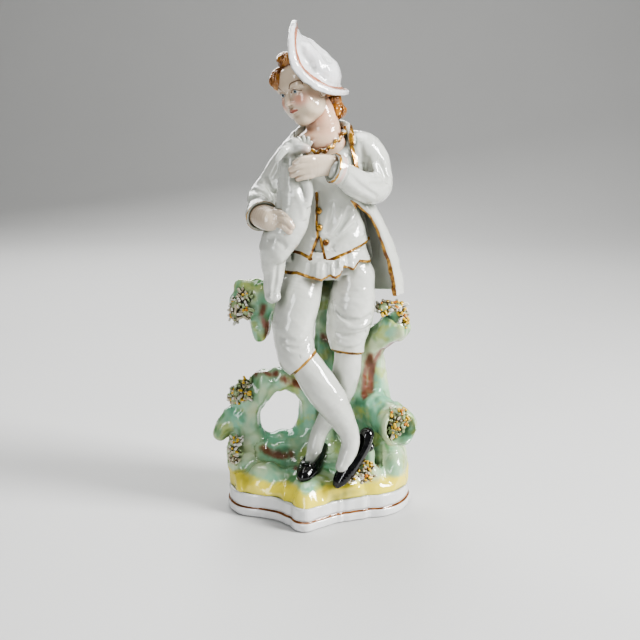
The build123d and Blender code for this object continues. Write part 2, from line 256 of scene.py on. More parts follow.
def to_line(p, line):
    """Distance from points to a polyline, and how far along it each one is, 0 to 1."""
    line = np.array(line, float)[:, :3]
    best, where = np.full(len(p), 1e9), np.zeros(len(p))
    near = ((p > line.min(0) - LINE_REACH) & (p < line.max(0) + LINE_REACH)).all(1)
    q = p[near]
    found, at = np.full(len(q), 1e9), np.zeros(len(q))
    for i, (a, b) in enumerate(zip(line, line[1:])):
        run = b - a
        t = np.clip((q - a) @ run / max(run @ run, 1e-9), 0, 1)
        off = q - a - t[:, None] * run
        d = (off * off).sum(1)
        closer = d < found
        found[closer], at[closer] = d[closer], (i + t[closer]) / (len(line) - 1)
    best[near], where[near] = np.sqrt(found), at
    return best, where


def fold(line, width, height):
    """A swelling (or, below zero, a crease) along a line, dying away at both ends."""
    line = np.array(line)

    def change(p):
        d, t = to_line(p, line)
        return height * np.exp(-(d / width) ** 2) * np.clip(4 * t * (1 - t), 0, 1) ** 0.5
    return change


def folds(*changes):
    return lambda p: sum(c(p) for c in changes)


# ---- skins --------------------------------------------------------------------------------------
def gradient(form, p, d, step):
    """How much the form's distance grows over a short step along each axis."""
    return np.stack([form(p + step * a) - d for a in np.eye(3)], 1)


def slope(form, p, step=0.25):
    """Which way the form's skin faces."""
    g = gradient(form, p, form(p), step)
    return g / (np.linalg.norm(g, axis=1, keepdims=True) + 1e-9)


def onto(form, p, tries=3, furthest=1.5):
    """Points moved to the nearest place on a form's skin."""
    p = np.array(p, float)[:, :3].copy()
    for _ in range(tries):
        d = form(p)
        g = gradient(form, p, d, 0.12) / 0.12
        size = (g * g).sum(1, keepdims=True)
        p -= np.clip(d, -furthest, furthest)[:, None] * g / np.maximum(size, 0.5)
    return p


def corners(grid):
    """The grid's values at each of the eight corners of its cells."""
    n = np.array(grid.shape) - 1
    for i, j, k in np.ndindex(2, 2, 2):
        yield grid[i:n[0] + i, j:n[1] + j, k:n[2] + k]


def measured(form, low, size, n):
    """The form's distance on a grid: fine near its skin, block by block elsewhere."""
    coarse = [np.arange(0, m, BLOCK) for m in n]
    grid = np.stack(np.meshgrid(*coarse, indexing="ij"), -1)
    d = form(low + size * grid.reshape(-1, 3)).reshape(grid.shape[:3])
    near = np.zeros(np.array(d.shape) - 1, bool)
    for part in corners(d):
        near |= np.abs(part) < 1.15 * size * BLOCK
    full = d
    for axis in range(3):
        full = np.repeat(full, BLOCK, axis)
    full = full[:n[0], :n[1], :n[2]].copy()
    wanted = np.zeros(n, bool)
    for i, j, k in np.argwhere(near) * BLOCK:
        wanted[i:i + BLOCK + 1, j:j + BLOCK + 1, k:k + BLOCK + 1] = True
    full[wanted] = form(low + size * np.argwhere(wanted))
    return full


def crossing_middles(full, cells):
    """The middle of the places where each cell's edges cross the skin, in grid steps."""
    total, count = np.zeros((len(cells), 3)), np.zeros(len(cells))
    for axis in range(3):
        others = [a for a in range(3) if a != axis]
        for i, j in np.ndindex(2, 2):
            start = np.zeros(3, int)
            start[others[0]], start[others[1]] = i, j
            end = start.copy()
            end[axis] = 1
            da, db = full[tuple((cells + start).T)], full[tuple((cells + end).T)]
            cross = (da < 0) != (db < 0)
            t = np.where(cross, da / np.where(cross, da - db, 1), 0)
            total[cross] += (start + t[:, None] * (end - start))[cross]
            count += cross
    return cells + total / count[:, None]


def skin(form, size):
    """Points and four-cornered faces of a form's skin, on a grid of `size` mm."""
    size *= FINE
    low = form.low - 2 * size
    n = (np.ceil((form.high + 2 * size - low) / (size * BLOCK)).astype(int)) * BLOCK + 1
    full = measured(form, low, size, n)
    inside = full < 0
    some, every = np.zeros(n - 1, bool), np.ones(n - 1, bool)
    for part in corners(inside):
        some |= part
        every &= part
    mixed = some & ~every
    cells = np.argwhere(mixed)
    number = np.full(n - 1, -1)
    number[mixed] = np.arange(len(cells))
    faces = []
    for axis in range(3):
        b, c = (axis + 1) % 3, (axis + 2) % 3
        one, two = [slice(None)] * 3, [slice(None)] * 3
        one[axis], two[axis] = slice(0, -1), slice(1, None)
        change = inside[tuple(one)] != inside[tuple(two)]
        at = np.argwhere(change)
        at = at[(at[:, b] > 0) & (at[:, c] > 0) & (at[:, b] < n[b] - 1) & (at[:, c] < n[c] - 1)]
        back_b, back_c = np.eye(3, dtype=int)[[b, c]]
        ring = [number[tuple((at - s).T)] for s in (back_b + back_c, back_c, 0 * back_b, back_b)]
        quad = np.stack(ring, 1)
        turn = ~inside[tuple(at.T)]
        quad[turn] = quad[turn][:, ::-1]
        faces.append(quad)
    faces = np.concatenate(faces)
    points = low + size * crossing_middles(full, cells)
    return onto(form, points, 2, size * 0.4), faces[(faces >= 0).all(1)]


# ---- base ---------------------------------------------------------------------------------------
def outline_radius(node):
    """How far the plinth reaches in each direction, from the CAD piece's own corners."""
    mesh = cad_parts[node].data
    co = np.array([v.co for v in mesh.vertices]) * 1000
    rim = co[np.abs(co[:, 2] - co[:, 2].max()) < 0.6]
    r, a = np.hypot(rim[:, 0], rim[:, 1]), np.arctan2(rim[:, 1], rim[:, 0])
    bins = np.linspace(-math.pi, math.pi, 181)
    far = np.array([r[np.abs((a - b + math.pi) % (2 * math.pi) - math.pi) < 0.05].max(initial=0)
            for b in bins])
    good = far > 0
    far = np.interp(bins, bins[good], far[good], period=2 * math.pi)
    for _ in range(3):
        far[:-1] = (np.roll(far[:-1], 1) + 2 * far[:-1] + np.roll(far[:-1], -1)) / 4
    far[-1] = far[0]      # the two ends of the circle are one direction
    return lambda x, y: np.interp(np.arctan2(y, x), bins, far)


reach = outline_radius("plinth")


def rim_gap(p, inset=0):
    """Distance outside the plinth's outline, drawn in by `inset`."""
    x, y = p[:, 0], p[:, 1]
    return (np.hypot(x, y) - reach(x, y) + inset) * 0.9


plinth_low, plinth_high = (np.array(c) * 1000 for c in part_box("plinth"))
deck = plinth_high[2]


def plinth_distance(p):
    """The plinth: a bulged lower step, a waist line above it, and slightly uneven walls."""
    z = p[:, 2]
    step = deck * 0.4
    bulge = 1.1 * (1 - np.tanh((z - step) / 0.7)) * 0.5
    under = 1.0 * np.exp(-z / 1.2)
    waist = 0.7 * np.exp(-((z - step - 0.9) / 0.9) ** 2)
    wall = rim_gap(p) - bulge + waist + under + 0.25 * ripple(p * (1, 1, 0.2), 40, 3)
    return soft_max(wall, np.maximum(plinth_low[2] - z, z - deck - 0.4), 1.6)


plinth_form = Form(plinth_distance, plinth_low - 1.5, plinth_high + 0.6)


def bank(p):
    """The rocky ground: a rounded slab that follows the plinth's outline."""
    x, y, z = p.T
    r = np.hypot(x, y) / reach(x, y)
    top = deck + 15 - 11.5 * np.clip(r, 0, 1) ** 3.2 + 1.0 * ripple(p * (1, 1, 0), 26,
        5) + 0.5 * ripple(p, 11, 6)
    wall = rim_gap(p, 1.6) + 0.5 * ripple(p * (1, 1, 0.4), 22, 8)
    return soft_max(soft_max(wall, (z - top) * 0.85, 7), deck - 0.3 - z, 0.6)


bank_form = Form(bank, plinth_low + (0, 0, 14), plinth_high + (0, 0, 18))
mound_form = blend(
    9, bank_form,
    limb("mound", (-54, 9, -8, 9), (-58.5, 11, 4, 6.5), (-57, 10, 14, 5)),
    limb("mound", (-40, 16, -6, 14), (-44, 14, 6, 10), (-46, 12, 14, 7)),
    lump("mound", (-18, 22, -4), (24, 16, 12)),
    lump("mound", (52, 13, -6), (11, 18, 13)),
    lump("mound", (45, 20, 0), (14, 14, 14)),
    lump("mound", (10, 16, 0), (28, 18, 11)),
    lump("mound", (4, -14, -8), (22, 14, 6)),
    lump("mound", (-38, -6, -8), (10, 8, 9)),
)

# ---- stump --------------------------------------------------------------------------------------
trunk_form = blend(
    5,
    limb("trunk", (4, 4, -72, 20), (7, 2, -56, 19), (11, 0, -40, 17.5), (10, -1, -20, 16),
        (8, 0, 0, 15.5), (4, 1, 20, 15), (0, 2, 44, 13), (-2, 3, 56, 10), flat=(Y, 0.72)),
    limb("trunk", (-26, -2, -66, 13), (-23, -3, -50, 10), (-21, -3, -34, 9), (-14, -1, -12, 9),
        (-10, 1, 10, 10), (-8, 2, 36, 10)),
    limb("trunk", (30, -5, -70, 14), (27, -4, -54, 12), (24, -2, -34, 11), (22, -1, -12, 9.5),
        (20, -2, 6, 9)),
)
upper_right_form = carve(
    2.5,
    blend(4, limb("upper_right_bough", (-17, 6, -18, 9), (-6, 1, -6, 9), (3, -4, 3, 9), (8, -7, 7, 9.5)),
          limb("upper_right_bough", (6, -6, 2, 6), (12, -8, 5, 5), (13, -8, 8, 3.6))),
    lump("upper_right_bough", (10, -9, 13), (6, 6, 6.5)),
)
upper_left_form = blend(
    5,
    limb("upper_left_bough", (30, 4, 3, 9), (12, 2, 1, 10), (-6, -1, 0, 10.5), (-18, -4, 0, 11.5),
        (-26, -6, -1, 11)),
    limb("upper_left_bough", (-16, -4, 8, 7), (-26, -6, 10, 5.5), (-30, -7, 11, 4)),
)
twig_form = limb("upper_left_twig", (0, 1, 14, 9), (0, -1, 2, 7), (0.5, -2, -4, 5), (1, -2, -6, 3.8))
post_form = blend(
    5,
    limb("arch_post", (-2, -1, -26, 12), (-2.5, -1, -10, 9), (-1, -1, 6, 8.5), (4, 0, 18, 8.5)),
    lump("arch_post", (-5, -3, 20), (8, 7, 8)),
    limb("arch_post", (10, 3, -26, 10), (4, 2, -14, 7), (0, 0, 0, 6)),
)
arch_form = blend(
    4,
    limb("arch_limb", (-22, -2, 8, 8.5), (-9, -1, 16.5, 8), (5, 0, 16, 8), (16, 1, 6, 8),
        (21, 2, -8, 8.5), (24, 2, -24, 9), (22, 0, -38, 11)),
    lump("arch_limb", (-16, -4, 18), (9, 7, 7)),
    lump("arch_limb", (-2, -3, 19), (10, 6, 6)),
)
arch_twig_form = limb("arch_twig", (6, 2, 5, 9), (-1, 0, 0, 6.6), (-5, -1, -5, 5.4), (-6, -1, -7, 4.6))
lower_right_form = carve(
    2.5,
    blend(5, limb("lower_right_bough", (-12, 14, 2, 13), (-4, 2, 3, 12), (4, -9, 1, 13),
            (6, -14, 0, 13.5)), lump("lower_right_bough", (-8, 4, 8), (10, 9, 9))),
    lump("lower_right_bough", (8, -21, 0.5), (10, 8, 10)),
)
heel_form = limb("heel_prop", (1, 2, -14, 8), (0, 1, -6, 5), (0, 0, 4, 4.4), (-1, -2, 12, 4))


# ---- casting ------------------------------------------------------------------------------------
casts = []      # what has been modelled so far: (object, points, normals)
solids = []     # every skinned form, to tell how sheltered a place is


def mesh_piece(node, points, faces, normals, paint, marks):
    """One piece of the visual, which rides the body and takes the place of its CAD node."""
    used, faces = np.unique(faces, return_inverse=True)
    faces = faces.reshape(-1, 4)
    points, normals = points[used], normals[used]
    mesh = bpy.data.meshes.new(node + "_clay")
    mesh.vertices.add(len(points))
    mesh.vertices.foreach_set("co", (points * 0.001).ravel())
    mesh.loops.add(faces.size)
    mesh.loops.foreach_set("vertex_index", faces.ravel())
    mesh.polygons.add(len(faces))
    mesh.polygons.foreach_set("loop_start", np.arange(0, faces.size, 4))
    mesh.update(calc_edges=True)
    mesh.validate()
    mesh.shade_smooth()
    mesh.normals_split_custom_set_from_vertices(normals.tolist())
    for mark, values in marks.items():
        layer = mesh.attributes.new(mark, "FLOAT", "POINT")
        layer.data.foreach_set("value", np.ascontiguousarray(values[used], dtype=np.float32))
    obj = bpy.data.objects.new(node + "_clay", mesh)
    bpy.context.scene.collection.objects.link(obj)
    obj.data.materials.append(paint)
    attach(obj, "root")
    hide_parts(node)
    casts.append((obj, points, normals))


def cast(pieces, size, paint, k=3, relief=None, marks=None):
    """Skins several forms as one clay surface, then parts it into one piece per CAD node.

    pieces: {CAD node: form}. relief: change(points) over all of them. marks: {name: f(points)},
    numbers kept at each point for the paint to read.
    """
    whole = blend(k, *pieces.values()) if len(pieces) > 1 else list(pieces.values())[0]
    if relief:
        whole = shaped(whole, relief)
    solids.append(whole)
    points, faces = skin(whole, size)
    normals = slope(whole, points)
    near = np.argmin([form(points) for form in pieces.values()], 0)
    owner = near[faces[:, 0]]
    values = {mark: f(points) for mark, f in (marks or {}).items()}
    for i, node in enumerate(pieces):
        mine = faces[owner == i]
        if len(mine):
            mesh_piece(node, points, mine, normals, paint, values)


def shelter():
    """Marks every cast point with how open it is, 0 in a crease to 1 in the open."""
    for obj, points, normals in casts:
        for mark, far in (("open_near", 1.2), ("open_far", 4.5)):
            q = points + normals * far
            d = np.min([form(q) for form in solids], 0) / far
            layer = obj.data.attributes.new(mark, "FLOAT", "POINT")
            layer.data.foreach_set("value", np.clip(d, 0, 1).astype(np.float32))


# ---- paint --------------------------------------------------------------------------------------
class Paint:
    """A glaze built from shader nodes."""

    def __init__(self, name, rough=0.1, coat=0.6, scatter=0.0):
        self.material = bpy.data.materials.new(name)
        self.material.use_nodes = True
        self.tree = self.material.node_tree
        self.shader = self.tree.nodes["Principled BSDF"]
        self.shader.inputs["Roughness"].default_value = rough
        self.shader.inputs["Coat Weight"].default_value = coat
        self.shader.inputs["Coat Roughness"].default_value = 0.04
        self.shader.inputs["Subsurface Weight"].default_value = scatter
        self.shader.inputs["Subsurface Scale"].default_value = 0.002
        self.shader.inputs["Subsurface Radius"].default_value = (1, 0.9, 0.8)

    def add(self, kind, **settings):
        """A new shader node."""
        node = self.tree.nodes.new(kind)
        for key, value in settings.items():
            setattr(node, key, value)
        return node

    def put(self, socket, value):
        """Links a socket or sets it, whichever the value allows."""
        if isinstance(value, bpy.types.NodeSocket):
            self.tree.links.new(value, socket)
        elif socket.type == "RGBA" and len(value) == 3:
            socket.default_value = (*value, 1)
        else:
            socket.default_value = value

    def mark(self, name):
        """A number kept at the points of the piece."""
        return self.add("ShaderNodeAttribute", attribute_name=name).outputs["Fac"]

    def place(self):
        return self.add("ShaderNodeTexCoord").outputs["Object"]

    def noise(self, scale, detail=3, stretch=(1, 1, 1), rough=0.55):
        mapping = self.add("ShaderNodeMapping")
        self.put(mapping.inputs["Vector"], self.place())
        mapping.inputs["Scale"].default_value = [s * scale for s in stretch]
        node = self.add("ShaderNodeTexNoise")
        node.inputs["Scale"].default_value = 1
        node.inputs["Detail"].default_value = detail
        node.inputs["Roughness"].default_value = rough
        self.put(node.inputs["Vector"], mapping.outputs["Vector"])
        return node.outputs["Fac"]

    def calc(self, kind, a, b=0.0):
        node = self.add("ShaderNodeMath", operation=kind)
        self.put(node.inputs[0], a)
        self.put(node.inputs[1], b)
        return node.outputs[0]

    def step(self, value, low, high, to_low=0.0, to_high=1.0):
        """Goes smoothly from to_low to to_high as the value goes from low to high."""
        node = self.add("ShaderNodeMapRange", interpolation_type="SMOOTHSTEP")
        self.put(node.inputs[0], value)
        for socket, v in zip(node.inputs[1:5], (low, high, to_low, to_high)):
            self.put(socket, v)
        return node.outputs[0]

    def mix(self, share, a, b):
        node = self.add("ShaderNodeMix", data_type="RGBA", blend_type="MIX")
        self.put(node.inputs[0], share)
        self.put(node.inputs[6], a)
        self.put(node.inputs[7], b)
        return node.outputs[2]

    def over(self, base, value, low, high, colour, share=1.0):
        """The base colour, covered by another as the value goes from low to high."""
        return self.mix(self.step(value, low, high, 0, share), base, colour)

    def ragged(self, mark, noise, gain):
        """A mark whose edge is broken up by noise."""
        return self.calc("ADD", self.mark(mark), self.calc("MULTIPLY", noise, gain))

    def set(self, **sockets):
        for name, value in sockets.items():
            self.put(self.shader.inputs[name.replace("_", " ")], value)
        return self.material


WHITE = (0.65, 0.66, 0.615)
# tint of glaze pooled in hollows, also used as painted shade in creases and sheltered folds
POOLED_GLAZE_AND_SHADE = (0.22, 0.24, 0.19)
GILT = (0.55, 0.32, 0.07)
GILT_DARK = (0.16, 0.06, 0.015)


def glaze_over(paint, colour, pooled_and_shade=POOLED_GLAZE_AND_SHADE, depth=0.8):
    """Glaze that pools in the creases, with painted shade there as well: the less open a place is, the
    nearer its colour comes to the pooled colour.
    """
    # painted shade: tight creases darken most, and folds sheltered further out darken less
    crease = paint.step(paint.mark("open_near"), 0.15, 0.95, depth, 0)
    fold_shade = paint.step(paint.mark("open_far"), 0.0, 1.0, depth * 0.6, 0)
    cloud = paint.noise(60, 3)
    cloudy = paint.over(colour, cloud, 0.35, 0.75, pooled_and_shade, 0.16)
    return paint.mix(crease, paint.mix(fold_shade, cloudy, pooled_and_shade), pooled_and_shade)


def lined(paint, colour, mark, width, tint=GILT, dark=GILT_DARK, wobble=0.5):
    """A hand-painted line where the distance mark is under half the width, and where that is."""
    wander = paint.calc("MULTIPLY", paint.calc("SUBTRACT", paint.noise(170, 2), 0.5), width * wobble)
    inside = paint.step(paint.calc("ADD", paint.mark(mark), wander), width * 0.5 + 0.13,
        width * 0.5 - 0.13)
    tone = paint.over(dark, paint.noise(240, 3), 0.35, 0.62, tint)
    return paint.mix(inside, colour, tone), inside


white = Paint("white_glaze", 0.09, 0.7, 0.12)
clean = glaze_over(white, WHITE, depth=0.95)
clean = white.over(clean, white.mark("pink"), 0, 1, (0.74, 0.50, 0.44), 0.7)
white_colour, white_gilt = lined(white, clean, "gilt", 1.7)
white.set(Base_Color=white_colour, Metallic=white.calc("MULTIPLY", white_gilt, 0.55),
          Roughness=white.step(white_gilt, 0, 1, 0.09, 0.26))

MINT = (0.24, 0.50, 0.34)
CREAM = (0.57, 0.66, 0.43)
SAGE = (0.42, 0.52, 0.20)
LEAF = (0.11, 0.28, 0.11)
YELLOW = (0.88, 0.76, 0.13)
OCHRE = (0.50, 0.46, 0.10)
RUST = (0.25, 0.06, 0.04)
# colours of the painted shade in the stump's creases and sheltered hollows
MOSS_SHADE = (0.12, 0.15, 0.06)
MINT_SHADE = (0.16, 0.24, 0.12)
bark = Paint("painted_bark", 0.1, 0.7)
tone = bark.over(MINT, bark.noise(38, 3, (1, 1, 0.6)), 0.38, 0.62, CREAM)
tone = bark.over(tone, bark.noise(55, 3), 0.52, 0.66, SAGE)
tone = bark.over(tone, bark.noise(75, 2, (1, 1, 0.4)), 0.58, 0.70, LEAF, 0.85)
gold = bark.over(YELLOW, bark.noise(45, 3), 0.5, 0.75, OCHRE, 0.6)
tone = bark.over(tone, bark.ragged("yellow", bark.noise(38, 4), 2.6), 1.5, 2.05, gold)
tone = bark.over(tone, bark.ragged("rust", bark.noise(190, 4, (1, 1, 0.3)), 1.0), 0.7, 1.4, RUST, 0.9)
# painted shade: darker in tight creases and, less strongly, in sheltered hollows
tone = bark.mix(bark.step(bark.mark("open_near"), 0.0, 0.9, 0.65, 0), tone, MOSS_SHADE)
tone = bark.mix(bark.step(bark.mark("open_far"), 0.0, 0.8, 0.45, 0), tone, MINT_SHADE)
bark.set(Base_Color=tone)

foot = Paint("plinth_glaze", 0.09, 0.7, 0.1)
foot_colour, _ = lined(foot, glaze_over(foot, (0.80, 0.80, 0.80)), "gilt", 1.1, (0.30, 0.13, 0.05),
    (0.15, 0.06, 0.02), 0.15)
foot.set(Base_Color=foot_colour)

# ---- base and stump pieces ----------------------------------------------------------------------
cast({"plinth": plinth_form}, 0.9, foot.material,
     marks={"gilt": lambda p: np.abs(p[:, 2] - deck * 0.42)})
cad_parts["base_plate"].data.materials.clear()
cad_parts["base_plate"].data.materials.append(foot.material)

# Courses of the rusty streaks, each round a CAD node.
STREAKS = [
    ("upper_right_bough", (9, -8, -2), (0, -6, -12), (-9, -2, -22)),
    ("upper_right_bough", (10, -9, -6), (3, -8, -13), (-6, -6, -24)),
    ("upper_right_bough", (-8, -5, -14), (-12, -5, -30), (-12, -6, -44)),
    ("upper_right_bough", (-4, -3, -12), (-8, -2, -30), (-9, -4, -44)),
    ("trunk", (33, -8, -40), (33, -8, -54)),
    ("trunk", (-8, -10, 14), (-14, -9, 18)),
    ("arch_limb", (-2, -8, 20), (14, -8, 14), (26, -8, 4)),
    ("arch_limb", (-20, -6, 22), (-8, -8, 24)),
    ("arch_limb", (24, -8, -6), (25, -8, -14)),
    ("upper_left_bough", (-14, -14, -2), (-16, -14, -10), (-12, -12, -16)),
    ("upper_left_twig", (5, -6, 4), (4, -5, -4)),
    ("arch_post", (10, -8, -18), (16, -8, -22), (26, -6, -24)),
    ("mound", (-8, -26, 4), (2, -30, 2)),
    ("mound", (40, -8, 2), (52, -6, 4), (55, -2, 12)),
    ("mound", (-20, 6, 4), (-16, -8, 0)),
]

# Thumbed dents in the mound: place from its middle, and radius.
DENTS = [(-38, -20, 4, 9), (-26, -26, 4, 7), (18, -28, 1, 7), (30, -22, 0, 6)]


def rust_mark(p):
    close = np.full(len(p), 99.0)
    for node, *points in STREAKS:
        close = np.minimum(close, to_line(p, path(node, *points))[0])
    return np.clip(1.1 - close / 4.8, 0, 1)


def yellow_mark(p):
    low = np.clip(1 - (p[:, 2] - deck - 1) / 13, 0, 1)
    return low * np.clip(1 - (-rim_gap(p) - 6) / 20, 0, 1) ** 0.7 * 1.5


def bark_relief(p):
    """Grained bark up the stump, softer ground below it, and thumbed dents along the front."""
    up = np.clip((p[:, 2] - 50) / 12, 0, 1)
    grain = ripple(p * (1, 1, 0.45), 9, 11) * 0.45 + ripple(p, 6, 12) * 0.09
    pits = sum(1.3 * np.exp(-((p - spot("mound", x, y, z)) ** 2).sum(1) / r ** 2) for x, y, z, r in DENTS)
    return up * grain * 1.5 + (1 - up) * 0.6 * ripple(p, 13, 14) - pits


arch_foot = lump("arch_limb", (-1, 2, -29), (17, 11, 7))    # fills the bottom of the opening
stump = {
    "mound": mound_form, "trunk": trunk_form, "upper_right_bough": upper_right_form,
    "upper_left_bough": upper_left_form, "upper_left_twig": twig_form, "arch_post": post_form,
    "arch_limb": blend(4, arch_form, arch_foot), "arch_twig": arch_twig_form,
    "lower_right_bough": lower_right_form, "heel_prop": heel_form,
}
cast(stump, 0.9, bark.material, k=5, relief=bark_relief,
     marks={"rust": rust_mark, "yellow": yellow_mark})

# ---- figure: clothes ----------------------------------------------------------------------------
torso = column(path("waistcoat", (0.2, 9.5, -51, 26, 15), (0.2, 9.5, -39, 26, 15.5),
        (-0.3, 9.5, -23, 23.5, 15.5), (-1.3, 10, -7, 20.5, 14.5), (-1.8, 10.5, 7, 21.5, 14),
        (-1.8, 11, 21, 23, 13.5), (-1.8, 11.5, 31, 20, 11.5), (-1.8, 11, 38, 13, 9),
        (-2.8, 10.5, 42, 8, 7)), 2.2)
chest = middle("waistcoat")
hips_form = column(path("hips", (-0.5, 2, 0, 24, 12), (-1, 1, 8, 26, 15), (-1, 0, 17, 24, 15)))

thigh = path("crossing_breeches", (3, 6, 29, 12.6), (0.5, 2, 20, 13.8), (-1.4, -1, 12.8, 14.4),
    (-4.2, -4.5, 2, 14.2), (-4.6, -6.4, -7, 13.4), (-3.5, -7.8, -16, 13), (-2, -9, -23, 12.4),
    (2.6, -9.5, -25.7, 11.4))
garter_a, garter_a_way = spot("crossing_breeches", 3.1, -9.5, -25.5), np.array((0.7, -0.1, -0.7))
crossing_breeches = clip(0.8, tube(thigh), side_of(garter_a, garter_a_way))
crossing_stocking = limb("crossing_stocking", (-15.8, 2.7, 36.5, 10.4), (-9.8, 1.7, 27, 11),
    (-2.8, 0.7, 16.5, 11.8), (4.2, -0.3, 6.5, 11), (10.2, -1.3, -3.5, 8.9), (14.7, -2.3, -12, 7.2),
    (16.7, -3.8, -19.5, 6.4), (15.2, -5.8, -27.5, 6), (11.7, -8.8, -35.5, 5.2))
garter_b, garter_b_way = spot("standing_breeches", -4.2, -3.4, -25.2), np.array((-0.1, -0.15, -1))
standing_breeches = clip(0.8, limb("standing_breeches", (-0.6, 1.6, 26, 14), (-1, 0.6, 20, 14.2),
        (-2.4, -0.8, 6, 16), (-4.2, -1.6, -6, 15), (-5.4, -2.4, -13, 13.6), (-5, -3.1, -20, 11.7),
        (-4.2, -3.4, -24.7, 10.5), (-4.3, -3.4, -28, 10.2)), side_of(garter_b, garter_b_way))
standing_stocking = limb("standing_stocking", (9.9, 1.3, 41.3, 9.3), (9.4, 1.3, 30.3, 9.6),
    (6.9, 1.8, 18.3, 9.8), (2.9, 2.8, 6.3, 8.8), (-3.1, 3.8, -6.7, 7), (-9.1, 4.3, -17.7, 5.8),
    (-12.1, 2.3, -26.7, 5.6), (-13.6, -1.7, -32.7, 5.2), (-15.6, -8.7, -36.7, 4.6))

frill_mid = middle("shirt_frill")
HEM_X = np.array((-33, -30, -21, -14, -5, 0.5, 4, 7, 9.5, 16, 20, 27, 31, 36))
HEM_Z = np.array((-5, -5.7, -4.5, -6.3, -8.2, -5.1, -6.7, -5.3, 0, -2.3, 2.5, 0.5, 3, 8))


def hem_height(p):
    return frill_mid[2] + np.interp(p[:, 0] - frill_mid[0], HEM_X, HEM_Z)


frill_body = column(path("shirt_frill", (0, 7, -12, 33, 22), (0, 7, -4, 31, 21.5), (0, 7, 3, 28.5, 20),
        (-0.5, 7, 10, 25.5, 17.5)))


def frill_flare(p):
    """The lower the hem hangs, the further the frill stands out there."""
    down = np.clip((frill_mid[2] + 9 - p[:, 2]) / 12, 0, 1)
    return down * (frill_mid[2] - 3 - hem_height(p)) * 0.45


frill_form = clip(1.2, shaped(frill_body, frill_flare), lambda p: (hem_height(p) - p[:, 2]) * 0.6,
    side_of(frill_mid + (0, 14, 0), Y))

vee = chest + (-6.6, -11, -25.5)    # the point of the notch below the buttons


def opening(p):
    """Below zero inside the notch."""
    return np.maximum((p - vee) @ (0.97, 0, 0.24) - 0.3, -(p - vee) @ (0.94, 0, -0.34) - 0.3)


# The waistcoat's hem, across and up from the middle of the chest.
HEM_W = ((-40, -18, -9, -1, 14, 31, 36), (-34, -36.5, -40.5, -40.5, -35, -28, -26))


def above_hem(p):
    """How far above the waistcoat's hem each point is."""
    return p[:, 2] - chest[2] - np.interp(p[:, 0] - chest[0], *HEM_W)


waist_form = carve(0.6, clip(0.9, grow(torso, 1.6), lambda p: -above_hem(p) * 0.9,
        side_of(chest + (0, 15, 0), Y)), opening)

# The edge of the left lapel, up and across from the middle of the chest.
LAPEL_Z = (-14, -2, 11, 24, 31, 39, 47)
LAPEL_X = (34, 19.5, 18, 15.7, 13.8, 12.9, 14)


def coat_gap(p):
    """Below zero where the coat stands open."""
    x, y, z = (p - chest).T
    return np.maximum.reduce((x - np.interp(z, LAPEL_Z, LAPEL_X), -24.5 - x, y - 13))


coat_form = blend(
    2,
    carve(0.9, clip(1, grow(torso, 3.4), side_of(chest + (0, 0, -42), -Z)), coat_gap),
    limb("coat_back", (15, -20, 36, 2.4), (13.5, -15, 42, 2.7), (10, -6, 46.5, 2.8),
        (-3, -0.5, 46.5, 2.8), (-16, -5, 44.5, 2.7), (-21, -13, 40, 2.6), (-24.5, -19, 33, 2.2),
        flat=(Z, 0.8)),
)

skirt_mid = middle("coat_skirt")
skirt_body = column(path("coat_skirt", (-4, -15.6, 50, 20, 11.6), (-3.6, -15, 42, 23.4, 14.6),
        (-3, -14.4, 36, 26.6, 16.6), (-2.6, -14, 30, 29.4, 17.6), (-1.3, -13.4, 18, 34.6, 18.5),
        (-0.3, -12.3, 0, 41, 20), (0.7, -11.3, -20, 44.6, 21.5), (0.7, -10.8, -35, 46, 23)))


def skirt_front(p):
    """Below zero behind the coat's two front edges."""
    z, x = p[:, 2] - skirt_mid[2], p[:, 0] - skirt_mid[0]
    left_edge = np.interp(z, (-34, -9, 6, 17, 27, 37), (-20.3, -21.3, -22.8, -22.8, -24, -28))
    right_edge = np.interp(z, (-32, 37), (-6, -16))
    edge = np.where(x > 0, left_edge, right_edge)
    return skirt_mid[1] + edge - p[:, 1]


def skirt_waves(p):
    """Flutes that deepen towards the hem."""
    x, y, z = (p - skirt_mid).T
    return 0.8 * np.sin(np.arctan2(y + 12, x) * 9) * np.clip((30 - z) / 40, 0, 1)


def skirt_hem(p):
    x, _, z = (p - skirt_mid).T
    return 0.06 * x - 31.2 - z


skirt_form = clip(1.1, shell(shaped(skirt_body, skirt_waves), 3.4), skirt_front, skirt_hem,
    side_of(skirt_mid + (0, 0, 46), Z))

right_sleeve = limb("right_sleeve", (19.6, 6.7, 23, 10.5), (12.6, 6.7, 16, 10.5), (5.6, 6.2, 7, 10.3),
    (-0.9, 5.2, -3, 10), (-5.9, 2.7, -9, 9.8), (-8, -4.3, -12, 9.2), (-8, -12, -15.5, 8.6),
    (-7.6, -19, -17.5, 8.4))
left_sleeve = limb("left_sleeve", (-7.9, 15.8, 14.5, 11), (0.1, 15.8, 13.2, 11.5), (6.1, 14.8, 6.9, 11),
    (8.6, 12.8, -2.1, 10.4), (9.1, 7.8, -9.6, 10.3), (4.1, -1.2, -10.1, 10.2), (-4.9, -10.7, -5.6, 9.2),
    (-12.9, -17.7, 0.4, 8), (-16.9, -21.2, 3.9, 7.4))


def cuff(centre, way, radius, width, depth):
    """A turned-back band round a wrist, open at the front."""
    way = np.array(way, float) / np.linalg.norm(way)
    ends = [(*(centre - way * width * 0.8), radius * 0.94), (*(centre + way * width * 0.8),
            radius * 1.04)]
    solid = clip(1.0, tube(ends), side_of(centre + way * width / 2, way),
        side_of(centre - way * width / 2, -way))
    hollow = tube([(*(centre + way * (width / 2 - depth)), radius - 2.2), (*(centre + way * width * 3),
                radius - 1.4)])
    return carve(0.8, solid, hollow)


left_wrist, left_way = spot("left_cuff", 0.2, -0.6, 0.4), (-0.85, -0.42, 0.3)
right_wrist, right_way = spot("right_cuff", 0.8, -9.5, 3.2), (0.3, -0.9, -0.3)
left_cuff = cuff(left_wrist, left_way, 9.5, 7, 0.9)
right_cuff = cuff(right_wrist, right_way, 10.6, 4.5, 0.9)

